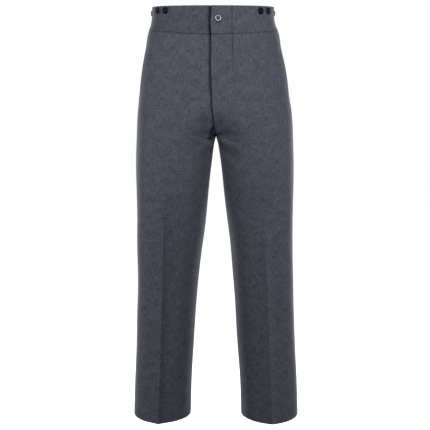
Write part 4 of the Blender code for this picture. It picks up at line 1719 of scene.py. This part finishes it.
@dataclass(frozen=True)
class Studio:
    """Plain pale floor, soft lights and the camera. Sizes in metres."""

    floor_level: float = -1.42
    floor_reach: float = 9.0
    camera_place: tuple = (0.005, -2.35, -0.11)
    camera_pitch: float = 10.5
    frame_pixels: int = 430
    focal_pixels: float = 887
    sensor: float = 36
    room_light: float = 0.095

    def build(self) -> None:
        """Builds the whole studio."""
        self.world()
        self.floor()
        self.camera()
        for light in (
            Softbox("front", (0.06, -1.25, 0.26), (0, 0, -0.3), 1.1, 0.4, 16.3),
            Softbox("wearers_right", (-1.3, -0.1, -0.55), (0, 0, -0.55), 0.3, 1.1, 6.3),
            Softbox("wearers_left", (1.3, -0.1, -0.55), (0, 0, -0.55), 0.3, 1.1, 5),
            Softbox("rim_right", (-0.85, 1.05, -0.5), (0, 0, -0.5), 0.3, 1.6, 17),
            Softbox("rim_left", (0.85, 1.05, -0.5), (0, 0, -0.5), 0.3, 1.6, 18),
            Softbox("behind", (0.2, 1.9, 0.9), (0, 0, -0.4), 2.0, 1.2, 20),
        ):
            light.build()
        bpy.context.scene.view_settings.view_transform = "Standard"

    def world(self) -> None:
        """Even white room. The camera sees it white, and it lights the cloth more softly."""
        world = bpy.data.worlds.new("studio")
        bpy.context.scene.world = world
        world.use_nodes = True
        graph = Graph(world.node_tree)
        seen, lit = (graph.node("ShaderNodeBackground") for _ in range(2))
        seen.inputs["Color"].default_value = (0.99, 0.99, 0.99, 1)
        lit.inputs["Color"].default_value = (0.97, 0.985, 1, 1)
        lit.inputs["Strength"].default_value = self.room_light
        mix = graph.node("ShaderNodeMixShader")
        graph.feed(mix.inputs[0], graph.node("ShaderNodeLightPath").outputs["Is Camera Ray"])
        graph.feed(mix.inputs[1], lit.outputs[0])
        graph.feed(mix.inputs[2], seen.outputs[0])
        graph.feed(world.node_tree.nodes["World Output"].inputs[0], mix.outputs[0])

    def floor(self) -> None:
        """Round floor that fades out far away. It can't be seen from below."""
        turn = np.linspace(0, 2 * np.pi, 97)
        out = np.linspace(0, self.floor_reach, 25)[:, None] / MM
        level = np.full((len(out), len(turn)), self.floor_level / MM)
        grid = np.stack([out * np.cos(turn), out * np.sin(turn), level], axis=-1)
        faces = grid_faces(np.arange(level.size).reshape(level.shape))
        obj = add_mesh("floor", grid.reshape(-1, 3), [faces])
        material, graph, shader = shaded("pale_floor")
        place = graph.node("ShaderNodeTexCoord").outputs["Object"]
        spread = graph.node("ShaderNodeVectorMath", operation="LENGTH")
        graph.feed(spread.inputs[0], place)
        near = graph.ramp(spread.outputs["Value"], self.floor_reach * 0.95, self.floor_reach * 0.3)
        above = graph.maths("SUBTRACT", 1.0, graph.node("ShaderNodeNewGeometry").outputs["Backfacing"])
        graph.feed(shader["Alpha"], graph.maths("MULTIPLY", near, above))
        shader["Roughness"].default_value = 0.9
        seen = graph.node("ShaderNodeLightPath").outputs["Is Camera Ray"]
        graph.feed(shader["Base Color"], graph.blend(seen, (0.25, 0.25, 0.25, 1), (0.6, 0.6, 0.6, 1)))
        graph.feed(shader["Emission Color"], graph.blend(seen, (0, 0, 0, 1), (1, 1, 1, 1)))
        shader["Emission Strength"].default_value = 0.98
        obj.data.materials.append(material)

    def camera(self) -> None:
        """Camera at the photograph's place, angle and framing."""
        data = bpy.data.cameras.new("camera")
        data.sensor_width = self.sensor
        data.lens = self.sensor * self.focal_pixels / self.frame_pixels
        data.clip_start, data.clip_end = 0.05, 50
        obj = bpy.data.objects.new("camera", data)
        obj.location = self.camera_place
        obj.rotation_euler = (np.radians(90 - self.camera_pitch), 0, 0)
        bpy.context.scene.collection.objects.link(obj)
        bpy.context.scene.camera = obj


@dataclass
class Trousers:
    """The whole garment: panels, waistband, strips below, sewing and buttons."""

    def __post_init__(self) -> None:
        """Lists the pieces of cloth by node."""
        self.cloth = {}
        for shift, side in enumerate(Side):
            where = side.word
            pocket = {"first": -34, "last": 12, "from_seam": True, "top": -72, "bottom": -258}
            for piece in (
                FrontPanel(f"front_{where}", side, crease_hollow=2.2 if side is Side.LEFT else 5.0),
                BackPanel(f"back_{where}", side),
                Band(f"waistband_front_{where}", side, shade=0.16 if side is Side.RIGHT else 0.0),
                Band(f"waistband_back_{where}", side, behind=True),
                Underlay(f"pocket_facing_{where}", side, **pocket),
            ):
                piece.map_shift = 0.7 * (len(self.cloth) + shift)
                self.cloth[piece.node] = piece
        shield = Underlay("fly_shield", Side.LEFT, first=0.1, last=FORM.underlap, bottom=-246, sunk=3.0)
        self.cloth[shield.node] = shield

    def build(self) -> None:
        """Builds every piece."""
        wool = WoolFinish().material()
        for piece in self.cloth.values():
            piece.build(wool)
        self.sew()
        self.fasten()

    def sew(self) -> None:
        """Stitching of the fly, stitching of the pockets and the buttonhole, each as one piece."""
        thread = ThreadFinish().material()
        band = self.cloth["waistband_front_left"]
        for name, parts in (
            ("stitching_fly", [row.strands() for row in self.fly_rows(band)]),
            ("stitching_pockets", [row.strands() for row in self.pocket_rows()]),
            ("buttonhole", [self.buttonhole(band)]),
        ):
            finish_piece(add_mesh(name, *join_strands(parts)), thread, Slot.WOOL)

    def fly_rows(self, band: Band) -> list[StitchRow]:
        """Rows down the band and the front beside the fly, and one just under the waist seam."""
        front = self.cloth["front_left"]
        across = np.linspace(-5, FLY.stitch_line - 2, 30)
        return [
            StitchRow(band, FLY.path(-2.5, FORM.waist_seam + 1.5)),
            StitchRow(front, FLY.path(FORM.waist_seam - 1.5, FLY.curve_end)),
            StitchRow(front, np.stack([across, np.full(30, FORM.waist_seam - 4.4)], axis=1)),
        ]

    def pocket_rows(self) -> list[StitchRow]:
        """A row along each pocket mouth, and three short ones that tack each end of it."""
        sewn = []
        for side in Side:
            panel = self.cloth[f"front_{side.word}"]
            level = np.linspace(FORM.mouth_top + 2, FORM.mouth_end - 2, 80)
            _, end = panel.edges(Rows(FORM, side, level))
            sewn.append(StitchRow(panel, np.stack([end[:, 0] - panel.pocket_stitch, level], axis=1)))
            inward = np.linspace(1.5, panel.pocket_stitch + 1, 12)
            for place in (level[0] + 1, level[-1] - 1):
                _, edge = panel.edges(Rows(FORM, side, [place]))
                for step in (-0.9, 0, 0.9):
                    tack = np.stack([edge[0, 0] - inward, np.full(12, place + step)], axis=1)
                    sewn.append(StitchRow(panel, tack, pitch=2.2, share=0.95, radius=0.3))
        return sewn

    def buttonhole(
        self, band: Band, start: float = 9, end: float = 28, level: float = -29
    ) -> tuple[Array, list]:
        """Worked buttonhole: close threads that stand out from a slit, round at its ends.

        Args:
            band: the piece that it is worked in.
            start: distance of its end under the button.
            end: distance of its other end.
            level: its level.

        Returns:
            The points and blocks of faces.
        """
        reach, inner, wide = end - start, 0.35, 1.7
        turn = np.linspace(0, 2 * np.pi, 96, endpoint=False)
        # A stadium: the middle of the slit slides with the cosine, held at its ends
        slide = np.clip(np.cos(turn) * 1.35, -1, 1) * reach / 2
        ring = np.stack([np.cos(turn), np.sin(turn)], axis=1)
        along = np.linspace(inner, wide, 6)
        places = np.stack([slide, 0 * slide], axis=1)[:, None] + along[None, :, None] * ring[:, None]
        points, normals = band.place((start + end) / 2 + places[..., 0], level + places[..., 1])
        lift = 0.5 * np.sin(np.pi * np.linspace(0.1, 1, 6)) - 0.05
        return threads_on(points + lift[None, :, None] * normals, normals, np.full(4, 0.3))

    def fasten(self) -> None:
        """Brace buttons, side buttons, the waist button and their sewing."""
        black, metal = BLACK.material(), METAL.material()
        closing = self.cloth["waistband_front_left"]
        buttons = [Button("waist_button", closing, 13, -29, WAIST_PROFILE, Slot.METAL, 4.4)]
        places = {
            Side.RIGHT: ((138, "outer", -12), (117.5, "inner", -12)),
            Side.LEFT: ((138, "outer", -13), (118, "inner", -13)),
        }
        for side, pair in places.items():
            before, after = (self.cloth[f"waistband_{where}_{side.word}"] for where in ("front", "back"))
            for out, word, level in pair:
                node = f"brace_button_front_{side.word}_{word}"
                buttons.append(Button(node, before, out, level, BRACE_PROFILE, Slot.BLACK, 4.9, turned=out))
            node = f"brace_button_back_{side.word}"
            buttons.append(Button(node, after, 28, -13, BRACE_PROFILE, Slot.BLACK, 4.9, turned=0.3))
            node = f"side_button_{side.word}"
            buttons.append(Button(node, before, 158, -17, SIDE_PROFILE, Slot.BLACK, 3.9))
        for button in buttons:
            button.build(metal if button.slot is Slot.METAL else black)
        olive = ThreadFinish("olive_thread", (0.05, 0.05, 0.04), (0.11, 0.11, 0.09)).material()
        obj = add_mesh("button_thread", *join_strands([button.thread() for button in buttons]))
        finish_piece(obj, olive, Slot.WOOL)


def main() -> None:
    """Builds the studio and the trousers."""
    logging.basicConfig(level=logging.INFO, format="%(name)s %(message)s")
    melange_group()
    scuff_group()
    Studio().build()
    Trousers().build()


if __name__ == "__main__":
    main()
